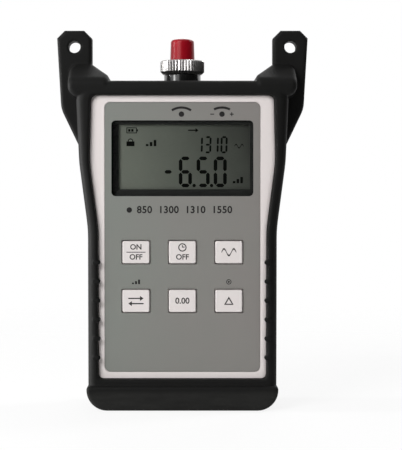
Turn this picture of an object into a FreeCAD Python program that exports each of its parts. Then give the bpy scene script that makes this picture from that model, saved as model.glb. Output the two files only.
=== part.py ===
import FreeCAD, Part
import math
import os
from types import SimpleNamespace

import Sketcher

# Handheld optical power meter in a rubber boot, in millimetres.
# X runs to the right as the user sees the meter, Y runs from the front to the back and Z runs up.
# The origin lies on the floor under the middle, in the plane where the two case halves meet.

# Driving dimensions
SIZES = {
    # Outline of the case, seen from the front: narrow at the grip, wide at the head
    "case_foot_width": 73.8,
    "case_grip_width": 74.0,
    "case_head_width": 81.4,
    "case_crown_width": 80.0,
    "case_bottom": 9.0,
    "flank_low": 76.0,
    "flank_high": 104.0,
    "case_top": 134.2,
    "flank_radius": 60.0,
    "case_foot_radius": 4.8,
    "case_crown_radius": 6.0,
    # Section of the case
    "front_depth": 15.5,
    "rear_depth": 14.5,
    "case_wall": 2.2,
    "face_wall": 2.5,
    "front_edge_radius": 3.2,
    "rear_edge_radius": 2.4,
    # Rubber boot
    "boot_fit": 0.1,
    "boot_wall": 2.6,
    "boot_top_wall": 4.0,
    "boot_crown_flare": 2.2,
    "boot_foot_radius": 3.4,
    "boot_edge_radius": 3.2,
    "lip_thickness": 2.4,
    "lip_overlap": 1.8,
    "lip_overlap_top": 2.2,
    "lip_overlap_bottom": 4.3,
    "lip_taper": 14.0,
    "lip_foot_radius": 2.0,
    "lip_crown_radius": 2.2,
    "back_lip_overlap": 3.6,
    "back_lip_overlap_ends": 7.5,
    "bumper_overhang": 3.3,
    "bumper_height": 10.2,
    "bumper_depth": 40.0,
    "bumper_foot_radius": 8.7,
    "bumper_top_radius": 1.4,
    "bumper_upright": 0.1,
    "bumper_edge_radius": 1.3,
    "bumper_overlap": 2.0,
    # Strap ears and the shoulders that carry them
    "ear_thickness": 8.0,
    "ear_inset": 6.2,
    "ear_width": 14.9,
    "ear_rise": 22.3,
    "ear_chamfer": 3.3,
    "ear_low_inset": 1.7,
    "ear_low_drop": 11.1,
    "ear_low_radius": 12.0,
    "ear_root_drop": 19.0,
    "ear_root_inset": 0.6,
    "ear_root_depth": 4.1,
    "ear_edge_radius": 1.2,
    "ear_hole_diameter": 5.2,
    "ear_hole_drop": 7.0,
    "shoulder_back": 11.0,
    "shoulder_reach": 3.1,
    "shoulder_rise": 7.9,
    "shoulder_step": 2.0,
    "shoulder_width": 7.7,
    "shoulder_root": 6.4,
    "shoulder_knee": 6.8,
    "shoulder_knee_radius": 4.0,
    "shoulder_back_knee": 7.1,
    "shoulder_corner_radius": 4.0,
    "shoulder_step_radius": 2.2,
    "shoulder_edge_radius": 1.8,
    # Grip ribs on the front lip
    "rib_count": 6,
    "rib_bottom_margin": 13.0,
    "rib_spacing": 8.0,
    "rib_width": 1.8,
    "rib_radius": 0.8,
    "rib_reach": 0.7,
    "rib_rise": 0.4,
    "rib_inset": 2.1,
    # Panel sheet and its cut-outs
    "panel_side_margin": 4.3,
    "panel_bottom_margin": 7.0,
    "panel_top_margin": 5.0,
    "panel_radius": 2.4,
    "panel_thickness": 0.6,
    "panel_gap": 0.15,
    "window_side_margin": 2.8,
    "window_top_margin": 7.6,
    "window_height": 31.8,
    "window_radius": 1.8,
    # Display stack
    "lens_margin": 0.9,
    "lens_thickness": 1.2,
    "lens_gap": 0.2,
    "bezel_face": 1.2,
    "bezel_wall": 1.2,
    "bezel_left": 2.9,
    "bezel_right": 1.4,
    "bezel_top": 1.6,
    "bezel_bottom": 2.9,
    "lcd_thickness": 2.4,
    "lcd_ledge": 2.0,
    "lcd_gap": 0.15,
    # Keys
    "key_width": 11.4,
    "key_height": 9.4,
    "key_radius": 0.7,
    "key_edge_radius": 0.5,
    "key_gap": 0.4,
    "key_column_spacing": 19.5,
    "key_bottom_margin": 29.8,
    "key_row_spacing": 20.5,
    "key_rise": 0.9,
    "key_flange": 0.8,
    "key_flange_margin": 0.9,
    "key_play": 0.1,
    "key_stem_diameter": 3.2,
    "key_travel": 0.8,
    "key_stop_gap": 0.2,
    # Circuit board and what it carries
    "board_bottom_margin": 16.0,
    "board_top_margin": 12.2,
    "board_radius": 2.0,
    "board_thickness": 1.6,
    "board_standoff": 4.0,
    "standoff_diameter": 5.0,
    "standoff_side_inset": 3.2,
    "standoff_low_inset": 4.0,
    "standoff_window_gap": 9.3,
    "board_screw_diameter": 2.0,
    "board_screw_length": 3.0,
    "board_head_diameter": 3.8,
    "board_head_height": 1.3,
    "screw_gap": 0.1,
    "switch_side": 5.0,
    "switch_body_height": 1.2,
    "switch_plunger_diameter": 2.4,
    "switch_plunger_height": 0.3,
    "chip_side": 12.0,
    "chip_height": 1.6,
    # Case screws from the back
    "boss_diameter": 6.0,
    "boss_bezel_gap": 0.2,
    "case_screw_foot_inset": 9.4,
    "case_screw_bottom_margin": 12.0,
    "case_screw_head_inset": 6.8,
    "case_screw_top_margin": 12.7,
    "case_screw_diameter": 2.8,
    "case_screw_bite": 8.0,
    "case_head_diameter": 4.6,
    "case_head_height": 1.6,
    "case_head_sink": 3.0,
    # Battery compartment, cells, contacts and door
    "cell_diameter": 14.3,
    "cell_length": 49.5,
    "cell_nub_diameter": 5.5,
    "cell_nub_height": 1.0,
    "cell_gap": 0.3,
    "cell_spacing": 1.4,
    "cell_shoulder_radius": 0.8,
    "bay_bottom_margin": 15.5,
    "bay_wall": 1.6,
    "bay_side_gap": 1.2,
    "contact_thickness": 0.4,
    "contact_width": 6.0,
    "contact_rise": 2.4,
    "contact_foot": 6.4,
    "contact_crown": 2.4,
    "contact_gap": 0.1,
    "door_ledge": 2.0,
    "door_thickness": 2.0,
    "door_gap": 0.3,
    "door_radius": 2.5,
    "door_hinge_radius": 0.95,
    "door_hinge_relief": 0.4,
    "door_pin_diameter": 1.2,
    "door_pin_length": 1.0,
    "door_pin_gap": 0.06,
    "thumb_width": 14.0,
    "thumb_height": 5.0,
    "thumb_depth": 0.8,
    # Optical port on top
    "collar_diameter": 15.9,
    "collar_height": 7.5,
    "collar_gap": 0.3,
    "port_thread_diameter": 12.8,
    "port_thread_length": 3.3,
    "port_shank_diameter": 12.0,
    "port_shank_length": 8.2,
    "port_mouth_diameter": 7.0,
    "port_mouth_depth": 5.0,
    "detector_bore_diameter": 5.6,
    "port_gap": 0.15,
    "port_nut_flats": 16.0,
    "port_nut_height": 3.0,
    "detector_flange_diameter": 5.3,
    "detector_flange_height": 0.6,
    "detector_can_diameter": 4.7,
    "detector_can_height": 4.4,
    "detector_sink": 1.6,
    "detector_lead_length": 8.0,
    "detector_lead_diameter": 0.5,
    "detector_lead_circle": 2.5,
    # Receptacle, its coupling nut and the dust cap
    "seat_gap": 0.05,
    "tail_length": 3.8,
    "tail_gap": 0.2,
    "flange_diameter": 12.4,
    "flange_height": 1.2,
    "receptacle_diameter": 8.0,
    "receptacle_length": 7.1,
    "receptacle_bore_diameter": 5.8,
    "receptacle_floor": 1.0,
    "sleeve_diameter": 3.4,
    "sleeve_drop": 1.2,
    "ferrule_bore_diameter": 2.5,
    "keyway_width": 2.1,
    "keyway_depth": 4.0,
    "nut_diameter": 18.8,
    "nut_floor_gap": 0.2,
    "nut_lip_height": 1.5,
    "nut_lip_gap": 0.6,
    "nut_thread_gap": 0.1,
    "nut_bottom_chamfer": 1.2,
    "nut_top_chamfer": 0.5,
    "flute_count": 44,
    "flute_depth": 0.4,
    "flute_width": 0.8,
    "cap_gap": 0.2,
    "cap_bore_gap": 0.1,
    "cap_base_diameter": 10.5,
    "cap_top_diameter": 9.9,
    "cap_roof": 3.6,
    "cap_edge_radius": 1.4,
    # Supply socket beside the port
    "jack_across": 16.5,
    "jack_diameter": 7.8,
    "jack_proud": 0.8,
    "jack_flange_diameter": 10.0,
    "jack_flange_height": 1.5,
    "jack_length": 12.0,
    "jack_bore_diameter": 5.7,
    "jack_bore_depth": 9.0,
    "jack_pin_diameter": 2.0,
    "jack_pin_drop": 1.0,
    "jack_gap": 0.15,
    "jack_boot_gap": 0.8,
}

doc = FreeCAD.newDocument("OpticalPowerMeter")
sheet = doc.addObject("Spreadsheet::Sheet", "Sizes")
for row, (alias, number) in enumerate(SIZES.items(), 1):
    sheet.set(f"A{row}", alias)
    sheet.set(f"B{row}", str(number))
    sheet.setAlias(f"B{row}", alias)
doc.recompute()


class Size:
    """A dimension with its number, for drawing, and its sheet expression, for binding."""

    def __init__(self, number, text):
        self.number = number
        self.text = text

    def __add__(self, other):
        other = as_size(other)
        return Size(self.number + other.number, f"({self.text} + {other.text})")

    def __sub__(self, other):
        other = as_size(other)
        return Size(self.number - other.number, f"({self.text} - {other.text})")

    def __mul__(self, other):
        other = as_size(other)
        return Size(self.number * other.number, f"({self.text} * {other.text})")

    def __truediv__(self, other):
        other = as_size(other)
        return Size(self.number / other.number, f"({self.text} / {other.text})")

    def __neg__(self):
        return Size(-self.number, f"(0 - {self.text})")


def as_size(value):
    return value if isinstance(value, Size) else Size(value, str(value))


def smaller(first, second):
    return Size(min(first.number, second.number), f"min({first.text}; {second.text})")


ZERO = as_size(0)
# All dimensions by name
d = SimpleNamespace(**{name: Size(float(sheet.get(name)), f"Sizes.{name}") for name in SIZES})


# Helpers for bodies, sketches and features

def bind(item, path, size):
    """Tie a property of a document object to the sheet."""
    item.setExpression(path, as_size(size).text)


def new_body(label):
    body = doc.addObject("PartDesign::Body", label)
    body.Label = label
    return body


def plane_sketch(body, role, across, up, out):
    """Sketch on one of the body's origin planes, moved by the three sizes in the plane's own axes."""
    sketch = body.newObject("Sketcher::SketchObject", "Sketch")
    plane = [item for item in body.Origin.OriginFeatures if item.Role == role][0]
    sketch.AttachmentSupport = [(plane, "")]
    sketch.MapMode = "FlatFace"
    bind(sketch, "AttachmentOffset.Base.x", across)
    bind(sketch, "AttachmentOffset.Base.y", up)
    bind(sketch, "AttachmentOffset.Base.z", out)
    return sketch


def front_sketch(body, depth, across=ZERO):
    """Sketch in X and Z at Y = depth. It faces the front, so a pad grows towards -Y."""
    return plane_sketch(body, "XZ_Plane", across, ZERO, -as_size(depth))


def side_sketch(body, across):
    """Sketch in Y and Z at X = across. It faces right, so a pad grows to the right."""
    return plane_sketch(body, "YZ_Plane", ZERO, ZERO, across)


def level_sketch(body, height):
    """Sketch in X and Y at Z = height. It faces up, so a pad grows upwards."""
    return plane_sketch(body, "XY_Plane", ZERO, ZERO, height)


def place_point(geometry, position, across, up):
    """The two constraints that hold a point at its place, each with its size."""
    return [
        (Sketcher.Constraint("DistanceX", -1, 1, geometry, position, across.number), across),
        (Sketcher.Constraint("DistanceY", -1, 1, geometry, position, up.number), up),
    ]


def constrain(sketch, pairs):
    """Add (constraint, size) pairs together, and tie to the sheet those that have a size."""
    first = sketch.ConstraintCount
    sketch.addConstraint([constraint for constraint, _ in pairs])
    for index, (_, size) in enumerate(pairs, first):
        if size is not None:
            bind(sketch, f"Constraints[{index}]", size)


def draw_outline(sketch, corners):
    """Closed outline through (across, up, radius) corners. A radius of None leaves the corner sharp."""
    corners = [(as_size(across), as_size(up), radius) for across, up, radius in corners]
    points = [FreeCAD.Vector(across.number, up.number, 0) for across, up, _ in corners]
    count = len(points)
    entries, exits, arcs = [], [], {}
    for i, (_, _, radius) in enumerate(corners):
        back = (points[i - 1] - points[i]).normalize()
        ahead = (points[(i + 1) % count] - points[i]).normalize()
        if radius is None:
            entries.append(points[i])
            exits.append(points[i])
            continue
        half = back.getAngle(ahead) / 2
        entries.append(points[i] + back * (radius.number / math.tan(half)))
        exits.append(points[i] + ahead * (radius.number / math.tan(half)))
        centre = points[i] + (back + ahead).normalize() * (radius.number / math.sin(half))
        arcs[i] = (centre, ahead.cross(back).z > 0)
    first = sketch.GeometryCount
    for i in range(count):
        sketch.addGeometry(Part.LineSegment(exits[i], entries[(i + 1) % count]), False)
    pairs = []
    for i, (across, up, radius) in enumerate(corners):
        last_line = first + (i - 1) % count
        next_line = first + i
        if radius is None:
            pairs.append((Sketcher.Constraint("Coincident", last_line, 2, next_line, 1), None))
            pairs += place_point(next_line, 1, across, up)
            continue
        centre, turns_left = arcs[i]
        begin, end = (entries[i], exits[i]) if turns_left else (exits[i], entries[i])
        angles = [math.atan2(p.y - centre.y, p.x - centre.x) for p in (begin, end)]
        circle = Part.Circle(centre, FreeCAD.Vector(0, 0, 1), radius.number)
        arc = sketch.addGeometry(Part.ArcOfCircle(circle, angles[0], angles[1]), False)
        entry_end, exit_end = (1, 2) if turns_left else (2, 1)
        corner = sketch.addGeometry(Part.Point(points[i]), True)
        pairs += place_point(corner, 1, across, up)
        pairs += [
            (Sketcher.Constraint("PointOnObject", corner, 1, last_line), None),
            (Sketcher.Constraint("PointOnObject", corner, 1, next_line), None),
            (Sketcher.Constraint("Tangent", last_line, 2, arc, entry_end), None),
            (Sketcher.Constraint("Tangent", arc, exit_end, next_line, 1), None),
            (Sketcher.Constraint("Radius", arc, radius.number), radius),
        ]
    constrain(sketch, pairs)


def draw_rectangle(sketch, left, right, low, high, radius=None):
    places = [(left, low), (right, low), (right, high), (left, high)]
    draw_outline(sketch, [(across, up, radius) for across, up in places])


def draw_circle(sketch, across, up, diameter):
    across, up = as_size(across), as_size(up)
    middle = FreeCAD.Vector(across.number, up.number, 0)
    circle = Part.Circle(middle, FreeCAD.Vector(0, 0, 1), diameter.number / 2)
    geometry = sketch.addGeometry(circle, False)
    pairs = place_point(geometry, 3, across, up)
    pairs.append((Sketcher.Constraint("Diameter", geometry, diameter.number), diameter))
    constrain(sketch, pairs)


def pad(body, sketch, length, reverse=False):
    feature = body.newObject("PartDesign::Pad", "Pad")
    feature.Profile = sketch
    feature.Reversed = reverse
    bind(feature, "Length", length)
    doc.recompute()
    return feature


def pocket(body, sketch, length, reverse=False):
    """Cut against the sketch's normal, or along it when reversed."""
    before = body.Shape.Volume
    feature = body.newObject("PartDesign::Pocket", "Pocket")
    feature.Profile = sketch
    feature.Reversed = reverse
    bind(feature, "Length", length)
    doc.recompute()
    if body.Shape.Volume >= before:
        raise RuntimeError(f"{body.Label}: {feature.Name} cuts nothing")
    return feature


def revolve(body, sketch):
    """Turn a profile, drawn as radius and height, about the sketch's own upright axis."""
    feature = body.newObject("PartDesign::Revolution", "Revolution")
    feature.Profile = sketch
    feature.ReferenceAxis = (sketch, ["V_Axis"])
    feature.Angle = 360
    doc.recompute()
    return feature


def repeat(body, feature, sketch, rows, row_pitch, columns=None, column_pitch=None):
    """Repeat a feature up the sketch, and across it where columns are given."""
    pattern = body.newObject("PartDesign::LinearPattern", "LinearPattern")
    pattern.Originals = [feature]
    pattern.Direction = (sketch, ["V_Axis"])
    pattern.Mode = "Spacing"
    bind(pattern, "Offset", row_pitch)
    bind(pattern, "Occurrences", rows)
    if columns is not None:
        pattern.Direction2 = (sketch, ["H_Axis"])
        pattern.Mode2 = "Spacing"
        bind(pattern, "Offset2", column_pitch)
        bind(pattern, "Occurrences2", columns)
        doc.recompute()
        pattern.Spacings2 = [-1.0] * (pattern.Occurrences2 - 1)  # -1 stands for the common pitch
    body.Tip = pattern
    doc.recompute()
    return pattern


def dress_edges(body, kind, size, chosen):
    """Fillet or chamfer the edges of the body for which chosen(edge box) is true."""
    base = body.Tip
    names = [f"Edge{i}" for i, edge in enumerate(base.Shape.Edges, 1) if chosen(edge.BoundBox)]
    feature = body.newObject(f"PartDesign::{kind}", kind)
    feature.Base = (base, names)
    bind(feature, "Radius" if kind == "Fillet" else "Size", size)
    doc.recompute()
    return feature


def near(number, size):
    return abs(number - as_size(size).number) < 1e-4


def at_depth(*depths):
    """Test for edges that lie in one of the planes Y = depth."""
    return lambda box: any(near(box.YMin, depth) and near(box.YMax, depth) for depth in depths)


def at_height(height, test):
    """Test for edges that lie in the plane Z = height and also pass another test."""
    return lambda box: near(box.ZMin, height) and near(box.ZMax, height) and test(box)


def rod(label, diameter, length, across, depth, height, along="Z"):
    """Plain cylinder that starts at the given place and runs along +Z or +Y."""
    item = doc.addObject("Part::Cylinder", label)
    bind(item, "Radius", diameter / 2)
    bind(item, "Height", length)
    bind(item, "Placement.Base.x", across)
    bind(item, "Placement.Base.y", depth)
    bind(item, "Placement.Base.z", height)
    if along == "Y":
        item.Placement.Rotation = FreeCAD.Rotation(FreeCAD.Vector(1, 0, 0), -90)
    doc.recompute()
    return item


def block(label, left, right, front, back, low, high):
    item = doc.addObject("Part::Box", label)
    left, front, low = as_size(left), as_size(front), as_size(low)
    for path, size in (("Placement.Base.x", left), ("Placement.Base.y", front), ("Placement.Base.z", low)):
        bind(item, path, size)
    bind(item, "Length", as_size(right) - left)
    bind(item, "Width", as_size(back) - front)
    bind(item, "Height", as_size(high) - low)
    doc.recompute()
    return item


def joined(label, items, kind="Part::MultiFuse"):
    """Fuse the items into one solid, or keep them side by side with kind Part::Compound."""
    result = doc.addObject(kind, label)
    result.Label = label
    if kind == "Part::Compound":
        result.Links = items
    else:
        result.Shapes = items
    doc.recompute()
    return result


def cut_away(label, base, tool):
    result = doc.addObject("Part::Cut", label)
    result.Label = label
    result.Base = base
    result.Tool = tool
    doc.recompute()
    if result.Shape.Volume >= base.Shape.Volume:
        raise RuntimeError(f"{label}: the cut takes nothing away")
    return result


def mirrored(label, item):
    """Copy of the item on the other side of the plane X = 0."""
    result = doc.addObject("Part::Mirroring", label)
    result.Source = item
    result.Normal = FreeCAD.Vector(1, 0, 0)
    doc.recompute()
    return result


def both_sides(right_corners):
    """Corners of the right half, from bottom to top, followed by their mirror images."""
    return right_corners + [(-across, up, radius) for across, up, radius in reversed(right_corners)]


# Planes that several pieces share

face = -d.front_depth
face_inner = face + d.face_wall
back_inner = d.rear_depth - d.case_wall
panel_back = face + d.panel_thickness
lens_back = panel_back + d.lens_thickness
board_front = face_inner + d.board_standoff
board_back = board_front + d.board_thickness
case_ceiling = d.case_top - d.case_wall
boot_front = face - d.boot_fit - d.lip_thickness
boot_back = d.rear_depth + d.boot_fit + d.lip_thickness
boot_side = d.boot_fit + d.boot_wall
boot_top = d.case_top + d.boot_fit + d.boot_top_wall
foot_half = d.case_foot_width / 2
head_half = d.case_head_width / 2
grip_middle_half = (d.case_foot_width + d.case_grip_width) / 4
head_screw_half = head_half - d.case_screw_head_inset
crown_half = d.case_crown_width / 2 + boot_side + d.boot_crown_flare
ear_top = boot_top + d.ear_rise
ear_low = boot_top - d.ear_low_drop
ear_inner = crown_half - d.ear_inset
ear_outer = ear_inner + d.ear_width
panel_half = foot_half - d.panel_side_margin
panel_bottom = d.case_bottom + d.panel_bottom_margin
panel_top = d.case_top - d.panel_top_margin
# The window stays inside the panel, and the bezel behind it passes between the upper bosses
window_half = smaller(panel_half - d.window_side_margin,
                      head_screw_half - d.boss_diameter / 2 - d.boss_bezel_gap - d.lens_margin)
window_top = panel_top - d.window_top_margin
window_bottom = window_top - d.window_height
# The board is as wide as the bezel that stands on it
board_half = window_half + d.lens_margin
board_bottom = d.case_bottom + d.board_bottom_margin
board_top = d.case_top - d.board_top_margin
bay_bottom = d.case_bottom + d.bay_bottom_margin
collar_top = d.case_top + d.collar_height
key_flange_front = face_inner + d.key_play
key_flange_back = key_flange_front + d.key_flange
plunger_front = board_front - d.switch_body_height - d.switch_plunger_height

# Places of what repeats

key_columns = {"left": -d.key_column_spacing, "middle": ZERO, "right": d.key_column_spacing}
key_low = panel_bottom + d.key_bottom_margin
key_rows = {"upper": key_low + d.key_row_spacing, "lower": key_low}
key_places = {
    "key_power": ("left", "upper"),
    "key_auto_off": ("middle", "upper"),
    "key_wavelength": ("right", "upper"),
    "key_units": ("left", "lower"),
    "key_zero": ("middle", "lower"),
    "key_reference": ("right", "lower"),
}
key_spots = {name: (key_columns[column], key_rows[line]) for name, (column, line) in key_places.items()}


def four_spots(low_half, low, high_half, high):
    """Places of four screws: a pair low down and a pair high up, each pair side by side."""
    return [(-low_half, low), (low_half, low), (-high_half, high), (high_half, high)]


standoff_half = board_half - d.standoff_side_inset
board_screw_spots = four_spots(standoff_half, board_bottom + d.standoff_low_inset,
                               standoff_half, window_bottom - d.standoff_window_gap)
foot_screw_half = foot_half - d.case_screw_foot_inset
case_screw_spots = four_spots(foot_screw_half, d.case_bottom + d.case_screw_bottom_margin,
                              head_screw_half, d.case_top - d.case_screw_top_margin)


def housing_outline(side, top, bottom, foot_radius, crown_radius, flare=ZERO):
    """Case outline grown at the sides, the top and the bottom. The flare widens only the crown."""
    return both_sides([
        (foot_half + side, d.case_bottom - bottom, foot_radius),
        (d.case_grip_width / 2 + side, d.flank_low, d.flank_radius),
        (head_half + side, d.flank_high, d.flank_radius),
        (d.case_crown_width / 2 + side + flare, d.case_top + top, crown_radius),
    ])


def even_outline(grow):
    """Case outline grown by the same amount all round."""
    return housing_outline(grow, grow, grow, d.case_foot_radius + grow, d.case_crown_radius + grow)


def boot_window_half(height):
    """Half width of the boot's front window at a height on the grip."""
    share = (height - d.case_bottom) / (d.flank_low - d.case_bottom)
    return foot_half - d.lip_overlap + (d.case_grip_width - d.case_foot_width) / 2 * share


# Rubber boot: shell, bumper, shoulders and ears, hollowed for the case, then the grip ribs

def boot_shell():
    body = new_body("boot_shell")
    outline = front_sketch(body, boot_front)
    draw_outline(outline, housing_outline(
        boot_side, boot_top - d.case_top, d.bumper_overlap, d.boot_foot_radius,
        d.case_crown_radius + boot_side, d.boot_crown_flare))
    pad(body, outline, boot_back - boot_front, reverse=True)
    dress_edges(body, "Fillet", d.boot_edge_radius, at_depth(boot_front, boot_back))
    return body


def boot_bumper():
    body = new_body("boot_bumper")
    outline = front_sketch(body, -d.bumper_depth / 2)
    foot_radius = smaller(d.bumper_foot_radius, d.bumper_height - d.bumper_top_radius - d.bumper_upright)
    draw_outline(outline, both_sides([
        (foot_half + d.bumper_overhang, ZERO, foot_radius),
        (foot_half + d.bumper_overhang, d.bumper_height, d.bumper_top_radius),
    ]))
    pad(body, outline, d.bumper_depth, reverse=True)
    dress_edges(body, "Fillet", d.bumper_edge_radius, at_depth(-d.bumper_depth / 2, d.bumper_depth / 2))
    return body


def boot_ear():
    """Strap ear on the right: a flat plate that grows out of the boot's side and top."""
    body = new_body("boot_ear")
    outline = front_sketch(body, -d.ear_thickness / 2)
    root = head_half + boot_side - d.ear_root_inset
    draw_outline(outline, [
        (root - d.ear_root_depth, ear_low - d.ear_root_drop, None),
        (root, ear_low - d.ear_root_drop, None),
        (ear_outer - d.ear_low_inset, ear_low, d.ear_low_radius),
        (ear_outer, ear_top - d.ear_chamfer, None),
        (ear_outer - d.ear_chamfer, ear_top, None),
        (ear_inner + d.ear_chamfer, ear_top, None),
        (ear_inner, ear_top - d.ear_chamfer, None),
    ])
    pad(body, outline, d.ear_thickness, reverse=True)
    dress_edges(body, "Fillet", d.ear_edge_radius, at_depth(-d.ear_thickness / 2, d.ear_thickness / 2))
    return body


def boot_shoulder():
    """Root of the right ear: it slopes from the ear's faces to the boot's front lip and to its back."""
    body = new_body("boot_shoulder")
    outer = crown_half + d.shoulder_reach
    inner = ear_inner - d.shoulder_width
    low = boot_top - d.shoulder_root
    high = boot_top + d.shoulder_rise
    outline = front_sketch(body, boot_front)
    draw_outline(outline, [
        (inner, low, None),
        (outer, low, d.shoulder_corner_radius),
        (outer, high, d.shoulder_corner_radius),
        (ear_inner, high, d.shoulder_step_radius),
        (inner, boot_top + d.shoulder_step, d.shoulder_step_radius),
    ])
    pad(body, outline, d.shoulder_back - boot_front, reverse=True)
    slopes = side_sketch(body, inner)
    above = high + d.shoulder_rise
    clear = boot_front - d.shoulder_knee_radius
    draw_outline(slopes, [
        (clear, low, None),
        (boot_front, low, None),
        (boot_front, low + d.shoulder_knee, d.shoulder_knee_radius),
        (-d.ear_thickness / 2, high, None),
        (d.ear_thickness / 2, high, None),
        (d.shoulder_back, low + d.shoulder_back_knee, None),
        (d.shoulder_back, above, None),
        (clear, above, None),
    ])
    pocket(body, slopes, outer - inner, reverse=True)
    dress_edges(body, "Fillet", d.shoulder_edge_radius,
                lambda box: box.YMax < 0 and (max(box.YLength, box.ZLength) > 1e-4 or near(box.ZMax, low)))
    return body


def boot_cavity():
    """Room for the case, with the front window that widens outwards and the plain rear window."""
    body = new_body("boot_cavity")
    room = front_sketch(body, face - d.boot_fit)
    draw_outline(room, even_outline(d.boot_fit))
    pad(body, room, d.front_depth + d.rear_depth + d.boot_fit * 2, reverse=True)
    window = front_sketch(body, face - d.boot_fit)
    draw_outline(window, housing_outline(
        -d.lip_overlap, -d.lip_overlap_top, -d.lip_overlap_bottom,
        d.lip_foot_radius, d.lip_crown_radius))
    front_cut = pad(body, window, d.lip_thickness * 1.5)
    bind(front_cut, "TaperAngle", d.lip_taper)
    rear_window = front_sketch(body, d.rear_depth)
    draw_outline(rear_window, housing_outline(
        -d.back_lip_overlap, -d.back_lip_overlap_ends, -d.back_lip_overlap_ends,
        d.case_foot_radius, d.case_crown_radius))
    pad(body, rear_window, d.lip_thickness * 1.5, reverse=True)
    return body


def boot_ribs():
    """Row of short bars across the front lip, on the right of the grip."""
    body = new_body("boot_ribs")
    bar = front_sketch(body, face - d.boot_fit)
    lowest = d.case_bottom + d.rib_bottom_margin
    inner = boot_window_half(lowest + d.rib_spacing * (d.rib_count - 1) / 2) - d.rib_reach
    outer = grip_middle_half + boot_side - d.rib_inset
    draw_rectangle(bar, inner, outer, lowest - d.rib_width / 2, lowest + d.rib_width / 2, d.rib_radius)
    first = pad(body, bar, d.lip_thickness + d.rib_rise)
    repeat(body, first, bar, d.rib_count, d.rib_spacing)
    return body


def make_boot():
    shoulder = boot_shoulder()
    ear = boot_ear()
    body = joined("boot_body", [
        boot_shell(), boot_bumper(), shoulder, mirrored("boot_shoulder_left", shoulder),
        ear, mirrored("boot_ear_left", ear),
    ])
    hole_across = (ear_inner + ear_outer) / 2
    hole_height = ear_top - d.ear_hole_drop
    strap_hole = rod("strap_hole", d.ear_hole_diameter, d.ear_thickness * 2,
                     hole_across, -d.ear_thickness, hole_height, along="Y")
    top_reach = d.boot_top_wall * 2
    openings = joined("boot_openings", [
        boot_cavity(), strap_hole, mirrored("strap_hole_left", strap_hole),
        rod("port_hole", d.collar_diameter + d.collar_gap * 2, top_reach, ZERO, ZERO, d.case_top),
        rod("jack_hole", d.jack_diameter + d.jack_boot_gap * 2, top_reach, d.jack_across, ZERO, d.case_top),
    ])
    ribs = boot_ribs()
    hollow = cut_away("boot_hollow", body, openings)
    return joined("boot", [hollow, ribs, mirrored("boot_ribs_left", ribs)])


# Case halves

def notch_top_wall(body):
    """Round openings for the port and the socket, centred on the plane where the halves meet."""
    holes = level_sketch(body, d.case_top)
    draw_circle(holes, ZERO, ZERO, d.port_shank_diameter + d.port_gap * 2)
    draw_circle(holes, d.jack_across, ZERO, d.jack_diameter + d.jack_gap * 2)
    pocket(body, holes, d.case_wall * 1.5)


def cut_key_openings(body, depth):
    """Openings round the keys, with the gap that the keys slide in, from the lower left key onwards."""
    opening = front_sketch(body, face)
    across, height = key_spots["key_units"]
    half_width = d.key_width / 2 + d.key_gap
    half_height = d.key_height / 2 + d.key_gap
    draw_rectangle(opening, across - half_width, across + half_width,
                   height - half_height, height + half_height, d.key_radius)
    first = pocket(body, opening, depth)
    repeat(body, first, opening, as_size(len(key_rows)), d.key_row_spacing,
           as_size(len(key_columns)), d.key_column_spacing)


def window_rectangle(sketch, margin, radius=None):
    """Display window with a margin added all round."""
    half = window_half + margin
    draw_rectangle(sketch, -half, half, window_bottom - margin, window_top + margin, radius)


def make_front_case():
    body = new_body("front_case")
    outline = front_sketch(body, ZERO)
    draw_outline(outline, even_outline(ZERO))
    pad(body, outline, d.front_depth)
    dress_edges(body, "Fillet", d.front_edge_radius, at_depth(face))
    inside = front_sketch(body, ZERO)
    draw_outline(inside, even_outline(-d.case_wall))
    pocket(body, inside, d.front_depth - d.face_wall, reverse=True)
    recess = front_sketch(body, face)
    half = panel_half + d.panel_gap
    draw_rectangle(recess, -half, half, panel_bottom - d.panel_gap, panel_top + d.panel_gap, d.panel_radius)
    pocket(body, recess, d.panel_thickness)
    lens_hole = front_sketch(body, face)
    window_rectangle(lens_hole, d.lens_margin + d.lens_gap, d.window_radius)
    pocket(body, lens_hole, d.face_wall * 1.5)
    cut_key_openings(body, d.face_wall * 1.5)
    standoffs = front_sketch(body, board_front)
    for across, height in board_screw_spots:
        draw_circle(standoffs, across, height, d.standoff_diameter)
    pad(body, standoffs, d.board_standoff)
    bosses = front_sketch(body, ZERO)
    for across, height in case_screw_spots:
        draw_circle(bosses, across, height, d.boss_diameter)
    pad(body, bosses, d.front_depth - d.face_wall)
    board_holes = front_sketch(body, board_front)
    for across, height in board_screw_spots:
        draw_circle(board_holes, across, height, d.board_screw_diameter + d.screw_gap * 2)
    pocket(body, board_holes, d.board_screw_length + d.screw_gap, reverse=True)
    case_holes = front_sketch(body, ZERO)
    for across, height in case_screw_spots:
        draw_circle(case_holes, across, height, d.case_screw_diameter + d.screw_gap * 2)
    pocket(body, case_holes, d.case_screw_bite + d.screw_gap, reverse=True)
    notch_top_wall(body)
    return body


cell_depth = back_inner - d.cell_gap - d.cell_diameter / 2
bay_floor = cell_depth - d.cell_diameter / 2 - d.cell_gap
bay_half = d.cell_diameter + d.cell_spacing / 2 + d.bay_side_gap
contact_room = d.contact_gap * 2 + d.contact_thickness + d.contact_rise
cell_bottom = bay_bottom + contact_room
cell_top = cell_bottom + d.cell_length + d.cell_nub_height
bay_top = cell_top + contact_room
door_half = bay_half + d.door_ledge
door_bottom = bay_bottom - d.door_ledge
door_top = bay_top + d.door_ledge
door_inner = d.rear_depth - d.door_thickness
hinge_depth = d.rear_depth - d.door_thickness / 2
hinge_height = door_bottom + d.door_thickness / 2


def hinge_sketch(body, reach, diameter):
    """Circle about the door's hinge axis, drawn at X = -reach."""
    sketch = plane_sketch(body, "YZ_Plane", ZERO, ZERO, -reach)
    draw_circle(sketch, hinge_depth, hinge_height, diameter)
    return sketch


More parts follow.
